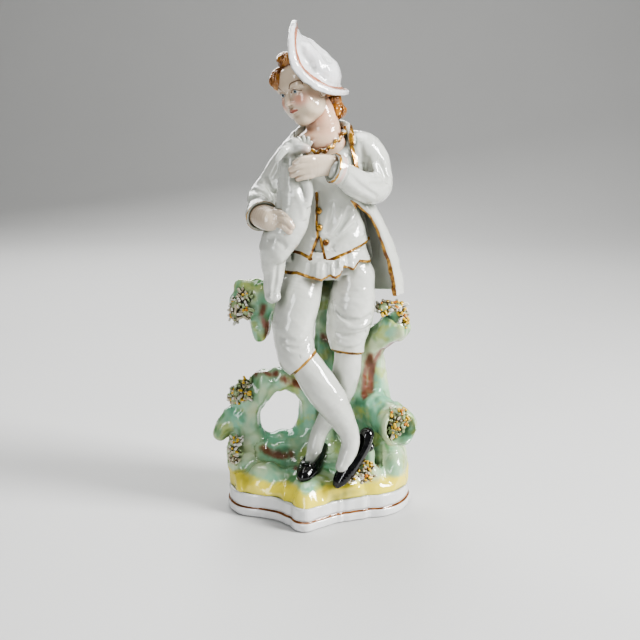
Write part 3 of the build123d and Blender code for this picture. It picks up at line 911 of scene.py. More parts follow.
# ---- figure: lamb -------------------------------------------------------------------------------
lamb_body = blend(
    3,
    limb("lamb_body", (3, 0.8, 35, 6.2), (3.4, -0.2, 28, 7.2), (3.1, -0.7, 17, 9), (3.6, -0.7, 6, 11),
        (2.1, -0.2, -5, 12), (-2.9, 0.3, -15, 12.5), (-7.4, 0.8, -24, 10.5)),
    lump("lamb_body", (-6.5, -4.5, -26), (7, 6, 8.5)),
)
lamb_hind = blend(
    2,
    limb("lamb_hind_leg", (0.8, -0.1, 16.4, 9.5), (0.3, 0.4, 7.4, 8), (0.3, 0.9, -1.6, 6.6),
        (-0.7, 1.4, -9.6, 5.6), (-0.7, 1.9, -15, 4.8)),
    lump("lamb_hind_leg", (0, -0.5, -15), (5, 4.6, 3.6)),
)
lamb_fore = limb("lamb_foreleg", (-2.6, 0.9, 8, 4), (-1, 0, 1, 3.4), (-1.6, 0, -5, 3),
    (-1.8, -0.2, -6.5, 3))
lamb_head = blend(
    1.6,
    lump("lamb_head", (-2, 1, 0.5), (7.2, 6, 6), axes((0.8, -0.5, 0.2), Z)),
    limb("lamb_head", (1, -1.5, 1.2, 4.6), (5.5, -4.2, 1.6, 3.5), (8, -5.6, 1.4, 2.9)),
    lump("lamb_head", (0.5, -1.5, 5.6), (3.4, 2.6, 2.2)),
)
lamb_ear = limb("lamb_ear", (4.5, 3, 3, 1.6), (1.5, 0.5, 1, 2.6), (-1.5, -0.4, -2.5, 2.4),
    (-2.6, -0.4, -4.6, 1.4), flat=(Y, 0.55))

# ---- figure: white clay pieces ------------------------------------------------------------------
figure = {
    "hips": hips_form, "crossing_breeches": crossing_breeches, "standing_breeches": standing_breeches,
    "crossing_stocking": crossing_stocking, "standing_stocking": standing_stocking,
    "shirt_frill": frill_form, "waistcoat": blend(0.5, waist_form, grow(torso, -0.4)),
    "coat_back": coat_form, "coat_skirt": skirt_form, "right_sleeve": right_sleeve,
    "left_sleeve": left_sleeve, "right_cuff": right_cuff, "left_cuff": left_cuff,
    "lamb_body": lamb_body, "lamb_hind_leg": lamb_hind, "lamb_foreleg": lamb_fore,
    "lamb_head": lamb_head, "lamb_ear": lamb_ear,
}
seen = blend(0.5, *[form for node, form in figure.items() if not node.startswith("lamb")])
lamb_seen = blend(0.5, lamb_body, lamb_hind, lamb_fore)


def crease(form, node, width, height, points):
    """A fold whose course, given round a CAD node, is laid on a form."""
    return fold(onto(form, eased(path(node, *points), 3), 6), width, height)


# Folds and wrinkles round each CAD node: width, height (below zero for a crease), then the course.
FOLDS = {
    # pulls from the lowest button, the front edge, the waist and the collar
    "waistcoat": [
        (1.9, -1.1, (-1, -12, -27), (7, -11, -19), (17, -8, -7)),
        (1.7, -0.9, (0, -12, -30), (10, -11, -23), (24, -6, -15)),
        (1.8, 0.7, (1, -12, -24), (6, -12, -16), (11, -11, -4)),
        (1.8, 0.7, (4, -12, -31), (16, -9, -26), (28, -3, -22)),
        (1.6, -0.8, (-3, -12, -22), (1, -12, -12), (3, -11, 0)),
        (1.8, 0.6, (6, -12, -24), (14, -10, -16), (24, -6, -9)),
        (0.9, -1.2, (-8.2, -10, 6), (-8.3, -11, -6), (-7.8, -12, -15), (-7, -12, -25)),
        (1.2, 0.8, (-9.8, -10, 6), (-9.9, -11, -6), (-9.4, -12, -15), (-8.6, -12, -25)),
        (1.1, -0.9, (6, -10, 32), (5, -11, 22), (3, -12, 12)),
        (1.2, -1.0, (10, -8, 33), (10, -10, 22), (11, -10, 12)),
        (1.0, -0.7, (1, -12, 28), (0, -12, 20), (-2, -12, 12)),
    ],
    # thigh and knee wrinkles of the standing leg
    "standing_breeches": [
        (1.8, -1.0, (-14, -8, 8), (-6, -15, 1), (4, -16, -1), (12, -10, 2)),
        (1.5, 0.8, (-13, -9, 12), (-12, -12, 4), (-4, -16, -4)),
        (1.4, 0.8, (-8, -14, -4), (2, -15, -5), (11, -9, -3)),
        (1.6, -0.9, (-12, -12, -9), (-3, -15, -11), (7, -10, -9)),
        (1.6, 0.7, (-12, -10, -14), (-6, -14, -17), (4, -12, -16)),
    ],
    # knee of the crossing leg
    "crossing_breeches": [
        (1.7, -0.5, (-12, -14, -6), (-2, -19, -9), (8, -15, -4)),
        (1.5, -0.6, (-10, -16, -12), (0, -21, -14), (9, -16, -10)),
        (1.3, 0.5, (0, -20, -19), (6, -19, -17), (10, -14, -14)),
    ],
    # elbow and forearm
    "left_sleeve": [
        (1.6, -1.3, (2, 4, 10), (4, 4, 2), (0, 0, -3)),
        (1.8, -0.8, (10, 4, 8), (13, 4, 0), (14, 0, -8)),
        (1.5, 0.8, (6, 4, 6), (8, 3, -2), (5, -4, -5)),
        (1.8, -0.7, (14, 6, -4), (10, -4, -8), (0, -12, -6)),
        (1.6, -0.6, (-10, -24, 2), (-2, -20, -6), (8, -8, -14)),
        (1.6, -0.8, (-2, 8, 18), (0, 5, 10), (0, 3, 4)),
    ],
    # elbow and cuff
    "right_sleeve": [
        (1.6, -1.0, (-8, -6, 6), (-4, -7, 0), (2, -6, -8)),
        (1.6, -1.0, (-14, -4, -4), (-9, -9, -7), (0, -14, -10)),
        (1.8, -0.7, (4, -4, 16), (2, -5, 8), (-2, -6, 2)),
        (1.5, -0.7, (-16, 0, -12), (-12, -9, -14), (-6, -16, -12)),
        (1.8, 0.9, (8, -5, 6), (6, -8, -2), (6, -12, -10)),
    ],
    # ruffles of the shirt hem
    "shirt_frill": [
        (1.1, -1.2, (-1.6, -17, 6), (-1.6, -19, 0), (-0.8, -19, -6)),
        (1.1, -1.1, (5, -17, 8), (4.6, -19, 2), (4.2, -19, -3)),
        (1.2, -1.1, (13.2, -15, 10), (14, -17, 5), (14.9, -17, -1)),
        (1.2, -1.0, (21.6, -11, 13), (23.4, -13, 8), (24.9, -13, 3)),
        (1.4, -0.6, (-14, -15, 6), (-15, -17, 0), (-16, -17, -5)),
        (1.0, 0.8, (1.6, -17, 5), (1.6, -20, -1), (2, -20, -6)),
        (1.1, 0.8, (9, -16, 9), (9.5, -18, 3), (9.8, -18, -2)),
        (1.1, 0.8, (18, -13, 11), (19, -15, 6), (20, -15, 1)),
        (1.4, 0.5, (-8, -16, 6), (-9, -19, 0), (-9, -19, -6)),
    ],
    # long flutes falling from the waist
    "coat_skirt": [
        (2.4, -1.0, (34, 4, 30), (40, 6, 6), (44, 8, -28)),
        (2.4, -1.1, (32, 14, 30), (40, 18, 4), (46, 20, -28)),
        (2.6, -1.2, (14, 22, 30), (20, 28, 2), (24, 32, -28)),
        (2.6, -1.2, (-6, 24, 30), (-8, 28, 2), (-10, 32, -28)),
        (2.6, -1.1, (-24, 14, 30), (-32, 16, 4), (-38, 18, -28)),
        (2.4, 0.9, (4, 24, 30), (6, 30, 0), (7, 34, -28)),
        (2.4, 0.9, (24, 18, 30), (32, 22, 2), (36, 24, -28)),
        (2.4, 0.9, (-15, 20, 30), (-20, 24, 2), (-24, 28, -28)),
    ],
    # haunch, neck and flank
    "lamb_body": [
        (1.8, -0.8, (-13, -8, -18), (-6, -11, -17), (0, -11, -24)),
        (2.2, 0.6, (4, -11, 14), (9, -9, 4), (10, -9, -6)),
        (2.0, -0.5, (-6, -6, 14), (-5, -8, 4), (-6, -9, -6)),
        (2.0, -0.6, (-3, -7, 30), (-4, -8, 22), (-2, -9, 12)),
    ],
    # leg
    "lamb_hind_leg": [
        (1.1, -0.9, (3, -7, 8), (2, -6, -4), (0, -5, -16)),
        (1.2, -0.5, (-4, -6, 2), (-4, -5, -6), (-3, -4, -14)),
    ],
}
FOLD_DEPTH = 2.1    # every fold is pressed this much harder than its listed height
cloth_folds = folds(*[crease(lamb_seen if node.startswith("lamb") else seen, node, width, height, course)
        for node, listed in FOLDS.items() for width, height, *course in listed])


def clay_relief(p):
    return cloth_folds(p) * FOLD_DEPTH + 0.12 * ripple(p, 9, 21) + 0.05 * ripple(p, 4, 22)


def circle(centre, way, radius):
    turn = axes(way, Z)
    a = np.linspace(0, 2 * math.pi, 28)
    return np.array([centre + radius * (math.cos(t) * turn[:, 0] + math.sin(t) * turn[:, 2]) for t in a])


button_edge = path("waistcoat", (-9.1, -10.5, 4), (-9.1, -11.5, -6), (-8.6, -12, -14), (-7.4, -12, -25))
# Gilt lines with a course of their own; the weight thins the line.
gilt_lines = [
    (0.8, onto(seen, eased(button_edge, 5), 7)),
    (1, circle(left_wrist + np.array(left_way) * 2.6, left_way, 9.2)),
    (2.1, circle(right_wrist + np.array(right_way) * 2.2, right_way, 10.6)),
]
FLAT = (1, 0, 1)    # leaves the depth out, for a line that is seen from the front
lapel = np.array(path("waistcoat", (-24, 0, 47), (-27.5, 0, 42), (-30.4, 0, 36), (-32, 0, 29))) * FLAT


def gilt_mark(p):
    """The distance to the nearest gilt line."""
    best = np.full(len(p), 9.0)
    # right lapel
    off_cloth = np.minimum(np.abs(coat_form(p)), np.abs(right_sleeve(p)))
    on_lapel = (off_cloth < 1.8) & (p[:, 1] < chest[1] + 9)
    best[on_lapel] = to_line(p[on_lapel] * FLAT, lapel)[0] * 0.6
    # button edge and cuffs
    for weight, line in gilt_lines:
        best = np.minimum(best, to_line(p, line)[0] * weight)
    # garters
    for centre, way, reach_out in ((garter_a, garter_a_way, 14), (garter_b, garter_b_way, 13)):
        away = np.maximum(np.linalg.norm(p - centre, axis=1) - reach_out, 0)
        best = np.minimum(best, np.abs(side_of(centre, way)(p)) * 0.9 + away * 3)
    # left lapel and the coat's front edge below it
    on_coat = (np.abs(coat_form(p)) < 0.8) & (p[:, 1] < chest[1] + 11) & (p[:, 0] > chest[0])
    best = np.where(on_coat, np.minimum(best, np.abs(coat_gap(p) - 1.4) * 0.55), best)
    on_skirt = (np.abs(skirt_form(p)) < 0.8) & (p[:, 0] > skirt_mid[0])
    rim = np.maximum(np.abs(skirt_front(p) + 0.3) * 0.5, skirt_body(p) + 0.6)
    best = np.where(on_skirt, np.minimum(best, rim), best)
    # waistcoat hem, and the notch below the buttons
    on_waist = (np.abs(waist_form(p)) < 2.6) & (p[:, 1] < chest[1] + 14)
    rise = above_hem(p)
    best = np.where(on_waist & (opening(p) > -1), np.minimum(best, np.abs(rise - 0.8) * 0.8), best)
    on_notch = on_waist & (rise > -1) & (p[:, 2] < vee[2] + 1)
    best = np.where(on_notch, np.minimum(best, np.abs(opening(p) - 0.7) * 0.9), best)
    # frill hem
    on_frill = np.abs(frill_form(p)) < 0.8
    hem = np.abs(p[:, 2] - hem_height(p) - 0.9) * 0.8
    return np.where(on_frill & (p[:, 1] < frill_mid[1] + 13), np.minimum(best, hem), best)


def pink_mark(p):
    """A pink band round the left cuff, and the lamb's muzzle."""
    along = (p - left_wrist) @ np.array(left_way)
    band = np.clip(1.4 - np.abs(along + 0.8) / 1.3, 0, 1) * (np.abs(left_cuff(p)) < 0.6)
    muzzle = np.clip(1.3 - np.linalg.norm(p - spot("lamb_head", 8, -5.6, 1.2), axis=1) / 3.6, 0, 1)
    return np.maximum(band, muzzle)


cast(figure, 0.62, white.material, k=1.1, relief=clay_relief,
    marks={"gilt": gilt_mark, "pink": pink_mark})

gilt = Paint("gilt_button", 0.25, 0.4)
gilt.set(Base_Color=gilt.over(GILT_DARK, gilt.noise(300, 3), 0.35, 0.65, GILT), Metallic=0.6)
button_places = path("waistcoat_buttons", (-2.7, 0, 9.5), (-1.9, -1, -1.5), (2.7, -1, -11.3))
buttons = [egg(q + (0, -0.4, 0), (2.1, 1.5, 2.1)) for q in onto(waist_form, button_places, 5)]
cast({"waistcoat_buttons": blend(0.2, *buttons)}, 0.35, gilt.material)

# ---- figure: hands and shoes --------------------------------------------------------------------
skin_paint = Paint("flesh_glaze", 0.1, 0.6, 0.15)
flesh = glaze_over(skin_paint, (0.66, 0.57, 0.46), (0.36, 0.25, 0.17), 0.9)
flesh = skin_paint.over(flesh, skin_paint.mark("blush"), 0, 1, (0.72, 0.36, 0.27), 0.75)
skin_paint.set(Base_Color=flesh)


def hand(node, palm, fingers, palm_way, tips):
    """A flat palm with four fingers, their tips blushed by the share `tips`."""
    back = limb(node, *palm, flat=(palm_way, 0.55))
    rods = [limb(node, *f) for f in fingers]
    made = blend(1.3, back, blend(0.5, *rods))
    ends = [spot(node, *f[-1][:3]) for f in fingers]

    def blush(p):
        return np.max([1 - np.linalg.norm(p - e, axis=1) / 3.4 for e in ends], 0).clip(0, 1) * tips

    cast({node: made}, 0.42, skin_paint.material, marks={"blush": blush})


hand("left_hand", [(12, 2.5, 0.5, 6.6), (6, 0.4, 1, 6.8), (-1, -2, 0.6, 7.2), (-4, -2.6, 0.2, 6.6)],
     [((-2, -3, 5, 2.7), (-7, -4.6, 4.8, 2.5), (-11.4, -4.2, 2.6, 2.2)),
      ((-3, -3.4, 1.8, 2.7), (-9, -5, 1.2, 2.5), (-13.8, -4.2, -1, 2.2)),
      ((-3, -3.2, -1.6, 2.6), (-8.5, -4.6, -2.4, 2.4), (-13.2, -3.8, -4.4, 2.1)),
      ((-2, -2.6, -4.6, 2.4), (-6, -3.8, -5.4, 2.2), (-9.6, -3.4, -6.8, 1.9))], (0.2, -1, 0), 0.6)
hand("right_hand", [(-10, 8, 2, 8), (-7, 2, 1.6, 8), (-2.4, -2.4, 0.8, 7.9), (1, -4, -0.2, 7)],
     [((1, -4.6, 5, 2.9), (6, -6.6, 4.8, 2.8), (9.8, -7.6, 1, 2.5)),
      ((1, -5, 2, 2.9), (6.8, -8, 1.2, 2.8), (10.2, -8.8, -2.4, 2.6)),
      ((0, -5, -1.2, 2.9), (5.4, -8, -2.4, 2.8), (8.8, -8.6, -5.4, 2.5)),
      ((-2, -4, -4, 2.7), (2.8, -6.8, -5.4, 2.6), (6, -7.6, -7.4, 2.3))], (0.45, -0.85, 0.1), 1.0)

leather = Paint("shoe_glaze", 0.07, 0.8)
leather.set(Base_Color=leather.over((0.006, 0.006, 0.007), leather.noise(300, 3), 0.45, 0.75,
        (0.03, 0.03, 0.03)))


def shoe(node, line, toward, up, collar):
    """A slipper along a line, with its mouth at the collar, a tongue and a heel."""
    turn = axes(toward, up)
    foot = limb(node, *line, flat=(turn[:, 2], 0.85))
    centre = middle(node)
    where, size = collar
    mouth = egg(centre + turn @ np.array(where, float), size, turn)
    body = carve(0.7, clip(1.2, foot, side_of(centre - turn[:, 2] * 4.6, -turn[:, 2])), mouth)
    tongue = egg(centre + turn @ (0, where[1] + size[1] * 0.86, where[2] - size[2] * 0.28),
        (3.4, 2.6, 1.1), turn)
    heel = egg(centre + turn @ (0, -13, -4.6), (4, 4, 2.6), turn)
    cast({node: blend(0.8, body, tongue, heel)}, 0.42, leather.material)


shoe("crossing_shoe", [(8.8, 6.8, 14, 5.4), (5.8, 4.3, 7, 6.4), (1.3, 0.8, 0, 6.8),
        (-3.7, -3.2, -6.5, 6.9), (-8.2, -6.2, -12.5, 5.8), (-10.4, -7.4, -15.2, 4)],
    (-0.62, -0.44, -0.65), (-0.5, -0.35, 0.79), ((0, -3, 6), (5.6, 12, 6.2)))
shoe("standing_shoe", [(5.5, 14.7, 2.6, 5.6), (3, 6.7, 0.6, 6.6), (0, -1.3, -1.9, 7.4),
        (-3, -8.8, -4.4, 7.6), (-5.3, -14.3, -5.8, 5.8), (-6, -16.3, -6.1, 4.2)], (-0.36, -0.9, -0.24),
    (0, -0.2, 1), ((0, 2, 5.4), (5.4, 11, 5.6)))

# ---- figure: neck, head, hair and hat -----------------------------------------------------------
neck_form = blend(
    3,
    limb("neck", (3.6, 1, -14, 13), (3, 0.5, -3, 11.4), (0.6, -1, 7, 10.4), (-2, -1.6, 13, 10)),
    lump("neck", (1.4, -4.5, -10.8), (16.5, 10.6, 9.4)),
)
neckline = path("collar_frill", (-20, -9.3, -1.4), (-14.4, -12.3, -6), (-7.4, -14.8, -8),
    (-1.9, -15.8, -7.9), (3.6, -14.8, -5.9), (7.6, -11.8, -2.4), (11.6, -7.3, 1.6), (14, 0.7, 5),
    (8, 8, 6), (-4, 8, 5), (-17, 4, 3), (-20.4, -4.3, 1.1), (-20, -9.3, -1.4))
neckline_curve = eased([q[:3] for q in neckline], 6)
scallops = neckline_curve[::3]
ruffle = middle("collar_frill") + (-11.4, -15.4, -6.4)
collar_form = blend(
    0.9, tube([(*q, 1.35) for q in neckline_curve[::2]], 1),
    *[egg(q + (0, -0.7, (0.8, -0.8)[i % 2]), (1.5, 1.2, 1.5)) for i, q in enumerate(scallops[:15])],
    *[tube([(*ruffle, 1.3), (*(ruffle + np.array(tip) * 0.6), 1.5), (*(ruffle + tip), 1.3)], 3)
      for tip in ((-6, -0.5, 4.4), (-4.6, -1.4, 7), (-1.6, -1.2, 8), (1.6, -1, 7), (3.4, -0.6, 4.2))])
scallop_edge = eased([q + (0, -1.6, (1.1, -1.3)[i % 2]) for i, q in enumerate(neckline_curve[6:48:3])], 3)

head_mid = middle("head") + (-1.4, 0, 1)
head_size = 1.1       # against the face's own measures
face_turn = axes((-0.66, -0.72, -0.16), (-0.34, 0.04, 1))


def on_face(*q):
    return head_mid + face_turn @ np.array(q[:3], float) * head_size


def face_tube(*points, steps=4, flat=None):
    return tube([(*on_face(*q), q[3] * head_size) for q in points], steps, flat)


def face_egg(centre, radii):
    return egg(on_face(*centre), np.array(radii) * head_size, face_turn)


def in_face(p):
    return (p - head_mid) @ face_turn / head_size


# Places on the face: x across it, y out of it, z up it, from the middle of the head.
both = (-1, 1)    # the face is alike on both sides
skull = blend(
    4,
    face_egg((0, -2.6, 4), (13.8, 16, 15)),
    face_egg((0, 3.4, -5), (11.4, 11.8, 14)),
    face_egg((0, 8.6, -15.6), (4.6, 4.4, 3.6)),
    *[face_egg((s * 6.6, 3, -10.6), (4.6, 7, 5)) for s in both],
    *[face_egg((s * 6, 9, -5.2), (4.8, 4, 4.8)) for s in both],
    face_egg((0, 8, 7.4), (10.4, 7.2, 8)),
    *[face_egg((s * 4.8, 12.2, 4.2), (4.8, 2.2, 1.8)) for s in both],
)
sockets = carve(1.8, skull, *[face_egg((s * 5.2, 16.6, 0.8), (3.3, 3.6, 2.4)) for s in both])
nose = blend(
    1.0,
    face_tube((0, 13.4, 3.2, 1.3), (0, 14.8, 0, 1.35), (0, 16.4, -3.2, 1.7), (0, 16.9, -4.6, 1.85)),
    *[face_egg((s * 1.9, 14.9, -5), (1.35, 1.8, 1.25)) for s in both],
)
eyes = [face_egg((s * 5.2, 11.3, 0.6), (2.9, 2.7, 2.3)) for s in both]
lids = [face_tube((s * 2.5, 13.4, 0.4, 0.5), (s * 3.8, 14.3, 1.9, 0.6), (s * 5.6, 14.1, 2.2, 0.6),
        (s * 7.4, 12.6, 1.1, 0.5), (s * 8.2, 11.6, 0.2, 0.4)) for s in both]
low_lids = [face_tube((s * 2.7, 13.2, 0.1, 0.35), (s * 4.4, 13.7, -1, 0.45), (s * 6.2, 13.2, -1.1, 0.45),
        (s * 8, 11.6, -0.1, 0.35)) for s in both]
lips = blend(
    0.4,
    face_tube((-3.4, 12.9, -9.4, 0.5), (-1.3, 14.8, -8.7, 0.85), (0, 15, -8.95, 0.8),
        (1.3, 14.8, -8.7, 0.85), (3.4, 12.9, -9.4, 0.5)),
    face_tube((-2.9, 12.9, -9.7, 0.5), (0, 14.5, -10.5, 1.05), (2.9, 12.9, -9.7, 0.5)),
)
ears = [
    blend(0.8, face_egg((s * 13, -1.4, -1.4), (1.8, 3.4, 4.8)), face_egg((s * 12.8, 0, -5), (1.4, 1.6, 1.8)))
    for s in both]
head_form = blend(0.9, blend(1.6, blend(0.6, sockets, *eyes), nose), *lids, *low_lids, lips, *ears)
lip_seam = eased([on_face(*q) for q in ((-3, 13.6, -9.6), (-1.2, 15.3, -9.5), (0, 15.5, -9.7),
            (1.2, 15.3, -9.5), (3, 13.6, -9.6))], 4)


def face_relief(p):
    """The parting of the lips, the groove above them and the dip above the chin."""
    seam, _ = to_line(p, lip_seam)
    q = in_face(p)
    groove = 0.35 * np.exp(-(q[:, 0] / 0.7) ** 2 - ((q[:, 2] + 7.2) / 1.0) ** 2) * (q[:, 1] > 8)
    chin = 0.4 * np.exp(-(q[:, 0] / 3) ** 2 - ((q[:, 2] + 12.4) / 1.0) ** 2) * (q[:, 1] > 8)
    return -0.4 * np.exp(-(seam / 0.4) ** 2) - groove - chin


def face_marks():
    """What is painted on the face: brows, lashes, irises, blush, lips and the whites of the eyes."""
    def near_curve(points, weight=1.0):
        line = eased([on_face(*q) for q in points], 5)
        line = onto(head_form, line, 3)
        return lambda p: to_line(p, line)[0] * weight

    brows = [near_curve([(s * 2.6, 14.4, 3.6), (s * 4.8, 14.2, 5.2), (s * 7.2, 13, 5.2),
                (s * 9.2, 10.8, 3.8)]) for s in both]
    lashes = [near_curve([(s * 2.6, 13.6, 0.6), (s * 3.9, 14.6, 1.7), (s * 5.6, 14.4, 2),
                (s * 7.4, 13, 0.9), (s * 8.4, 11.8, 0)], 1.3) for s in both]
    mouth = near_curve([(-3.2, 13.4, -9.5), (-1.2, 15.4, -9.3), (0, 15.6, -9.5), (1.2, 15.4, -9.3),
            (3.2, 13.4, -9.5)])

    def line(p):
        return np.min([f(p) for f in brows + lashes], 0)

    def iris(p):
        q = in_face(p)
        off_pupil = np.min([np.hypot(q[:, 0] - s * 5.2 + 0.3, q[:, 2] - 0.6) for s in both], 0)
        return off_pupil + 9 * (q[:, 1] < 9)

    def blush(p):
        q = in_face(p)
        cheek = np.max([1 - np.hypot(q[:, 0] - s * 7, (q[:, 2] + 4.6) * 1.1) / 6.6 for s in both], 0)
        return np.clip(cheek, 0, 1) * (q[:, 1] > 2)

    def lip(p):
        q = in_face(p)
        height = 1.7 * np.clip(1 - (q[:, 0] / 3.7) ** 2, 0, 1) ** 0.6
        depth = 1.4 - np.abs(q[:, 2] + 9.6) * 1.4 / np.maximum(height, 0.05)
        return np.clip(depth, 0, 1) * (q[:, 1] > 9)

    def eye_white(p):
        on_eye = np.clip(0.5 - np.min([eye(p) for eye in eyes], 0) * 4, 0, 1)
        return on_eye * (np.min([lid(p) for lid in lids + low_lids], 0) > 0.1)

    return {"line": line, "iris": iris, "blush": blush, "lip": lip, "white": eye_white, "mouth": mouth}


face_paint = Paint("face_glaze", 0.1, 0.6, 0.15)
face = glaze_over(face_paint, (0.68, 0.57, 0.45), (0.36, 0.25, 0.17), 0.8)
face = face_paint.over(face, face_paint.mark("blush"), 0, 0.9, (0.74, 0.38, 0.28), 0.85)
face = face_paint.mix(face_paint.mark("white"), face, (0.80, 0.80, 0.78))
face = face_paint.over(face, face_paint.mark("iris"), 1.25, 1.0, (0.28, 0.34, 0.38))
face = face_paint.over(face, face_paint.mark("iris"), 0.75, 0.5, (0.01, 0.01, 0.012))
face = face_paint.over(face, face_paint.mark("lip"), 0.2, 0.9, (0.52, 0.16, 0.12), 0.8)
face = face_paint.over(face, face_paint.mark("mouth"), 0.45, 0.2, (0.22, 0.05, 0.04), 0.7)
face = face_paint.over(face, face_paint.mark("line"), 0.55, 0.3, (0.16, 0.10, 0.06), 0.85)
face_paint.set(Base_Color=face)
cast({"head": head_form}, 0.36, face_paint.material, relief=face_relief, marks=face_marks())

throat = Paint("throat_glaze", 0.1, 0.6, 0.15)
throat_tone = glaze_over(throat, (0.72, 0.57, 0.44), (0.50, 0.26, 0.17), 0.9)
throat_tone = throat.over(throat_tone, throat.noise(45, 2), 0.42, 0.7, (0.74, 0.40, 0.28), 0.5)
throat.set(Base_Color=throat_tone)
cast({"neck": neck_form}, 0.55, throat.material)
cast({"collar_frill": collar_form}, 0.42, white.material,
     marks={"gilt": lambda p: np.minimum(to_line(p, scallop_edge)[0] * 0.75,
                                         np.linalg.norm(p - neckline_curve[1], axis=1) * 0.35)})

# Hair: rolled curls with combed grooves.
auburn = Paint("hair_glaze", 0.13, 0.6)
locks = auburn.over((0.20, 0.075, 0.02), auburn.noise(260, 4, (1, 1, 0.35)), 0.3, 0.7, (0.48, 0.23, 0.06))
# painted shade in the grooves and between the curls
locks = auburn.mix(auburn.step(auburn.mark("open_near"), 0.1, 0.9, 0.85, 0), locks, (0.16, 0.06, 0.02))
locks = auburn.over(locks, auburn.noise(120, 2), 0.62, 0.72, (0.66, 0.46, 0.28), 0.5)
auburn.set(Base_Color=locks)


def curl(centre, radii, turn, grooves=7.0):
    """A rolled lock: an egg wound with grooves."""
    def wound(p):
        q = (p - centre) @ turn / np.array(radii)
        x, y, z = q.T
        return 0.45 * np.sin(np.arctan2(z, x) * 2 + y * grooves + np.hypot(x, z) * 5)
    return shaped(egg(centre, radii, turn), wound)


def combing(p):
    """Comb lines over the cap of hair."""
    return 0.5 * np.sin(in_face(p) @ (1.1, 0, 0.4))


temple = blend(
    0.7,
    curl(spot("temple_curls", 3.6, 3.4, 13), (6, 6.2, 5.6), axes((-0.3, -0.8, 0.5), Z)),
    curl(spot("temple_curls", -1.8, 2, 1.6), (4.6, 5.6, 7.2), axes((-0.6, -0.6, 0.2), Z)),
    curl(spot("temple_curls", 9, 6, 14), (6.5, 6.5, 5), axes((0, -1, 0.2), Z)),
)
nape = blend(
    0.7,
    curl(spot("nape_curls", 1.4, -1.5, -2.6), (6.4, 6.6, 6.2), axes((0.4, -0.8, -0.3), Z)),
    curl(spot("nape_curls", -1.5, -0.5, 4), (6, 6.5, 6), axes((0.2, -0.9, 0.3), Z)),
    curl(spot("nape_curls", -4, 7, 1), (8.5, 7.5, 10), axes((0.3, 0.9, -0.3), Z), 5),
    *[curl(on_face(s * 12.2, -5, 1), (4.6, 7.5, 9.5), face_turn, 5) for s in both],
    clip(2, shaped(face_egg((0, -3.6, 4.6), (15, 16.4, 15.4)), combing),
         lambda p: in_face(p) @ (0, 1, -0.12) - 1, lambda p: -9.5 - in_face(p)[:, 2]),
)
cast({"temple_curls": temple}, 0.4, auburn.material,
     relief=lambda p: 0.22 * ripple(p, 2.2, 31))
cast({"nape_curls": nape}, 0.45, auburn.material,
     relief=lambda p: 0.25 * ripple(p, 2.4, 32))

# Hat: a soft crown on a brim turned up at its two ends.
brim_mid = middle("hat_brim") + (-5.2, 0, -2)
hat_turn = axes((-0.06, -0.995, -0.02), (0.78, -0.05, 0.62))
HAT_SIDES = (-1, 1, 1)    # in the hat's own places x runs down its slope, y out over the face, z up
BRIM_X, BRIM_Y = 29, 28.5


def in_hat(p):
    return (p - brim_mid) @ hat_turn * HAT_SIDES


def hat_egg(place, radii):
    return egg(brim_mid + hat_turn @ (np.array(place) * HAT_SIDES), radii, hat_turn)


def brim_edge(q):
    """Distance outside the brim's oval."""
    return (np.sqrt((q[:, 0] / BRIM_X) ** 2 + (q[:, 1] / BRIM_Y) ** 2) - 1) * BRIM_Y


def brim_rise(q):
    """How the brim curls: up at its two ends, down over the face and the neck."""
    return 4.8 * (q[:, 0] / 29) ** 2 - 8.6 * (q[:, 1] / 26) ** 2 + 0.35 * np.sin(q[:, 0] / 5) - 0.6


def brim_distance(p):
    q = in_hat(p)
    rise = q[:, 2] - brim_rise(q)
    edge = brim_edge(q)
    return soft_max(np.abs(rise) * 0.94 - 1.3 - 0.9 * np.exp(-((edge + 2.2) / 1.8) ** 2), edge, 2.4)


brim_form = Form(brim_distance, brim_mid - (29, 27, 33), brim_mid + (29, 27, 29))
crown_form = carve(
    3,
    blend(3, hat_egg((1, 0, 0), (19.5, 17.5, 8.8)), hat_egg((8, 1, 2.5), (12, 13, 8))),
    hat_egg((-6, 7, 9.5), (8, 4, 3.6)), hat_egg((2, 10, 9), (4, 3, 2.6)))
felt = Paint("hat_glaze", 0.09, 0.7, 0.12)
felt_colour, _ = lined(felt, glaze_over(felt, (0.80, 0.80, 0.81)), "trim", 2.8, (0.55, 0.24, 0.15),
    (0.36, 0.15, 0.08))
felt.set(Base_Color=felt_colour)


def brim_trim(p):
    """The distance to the painted band, on the brim's upper face only."""
    q = in_hat(p)
    return np.abs(brim_edge(q) + 4.4) * 0.8 + 9 * (q[:, 2] < brim_rise(q))


cast({"hat_crown": crown_form, "hat_brim": brim_form}, 0.5, felt.material, k=3,
     relief=lambda p: 0.18 * ripple(p, 9, 41) + 0.06 * ripple(p, 3, 42), marks={"trim": brim_trim})

# ---- blossoms: shredded clay --------------------------------------------------------------------
petal = Paint("petal_glaze", 0.18, 0.5)
hue = petal.mark("hue")
tone = petal.over((0.30, 0.38, 0.20), hue, 0.30, 0.34, (0.50, 0.46, 0.34))
tone = petal.over(tone, hue, 0.55, 0.59, (0.66, 0.44, 0.06))
tone = petal.over(tone, hue, 0.78, 0.82, (0.62, 0.24, 0.05))
tone = petal.over(tone, hue, 0.92, 0.94, (0.62, 0.62, 0.55))
# painted shade down between the shreds
tone = petal.mix(petal.step(petal.mark("open_near"), 0.05, 0.8, 0.9, 0), tone, (0.07, 0.05, 0.02))
petal.set(Base_Color=tone)


SHREDS = 19    # in each rosette


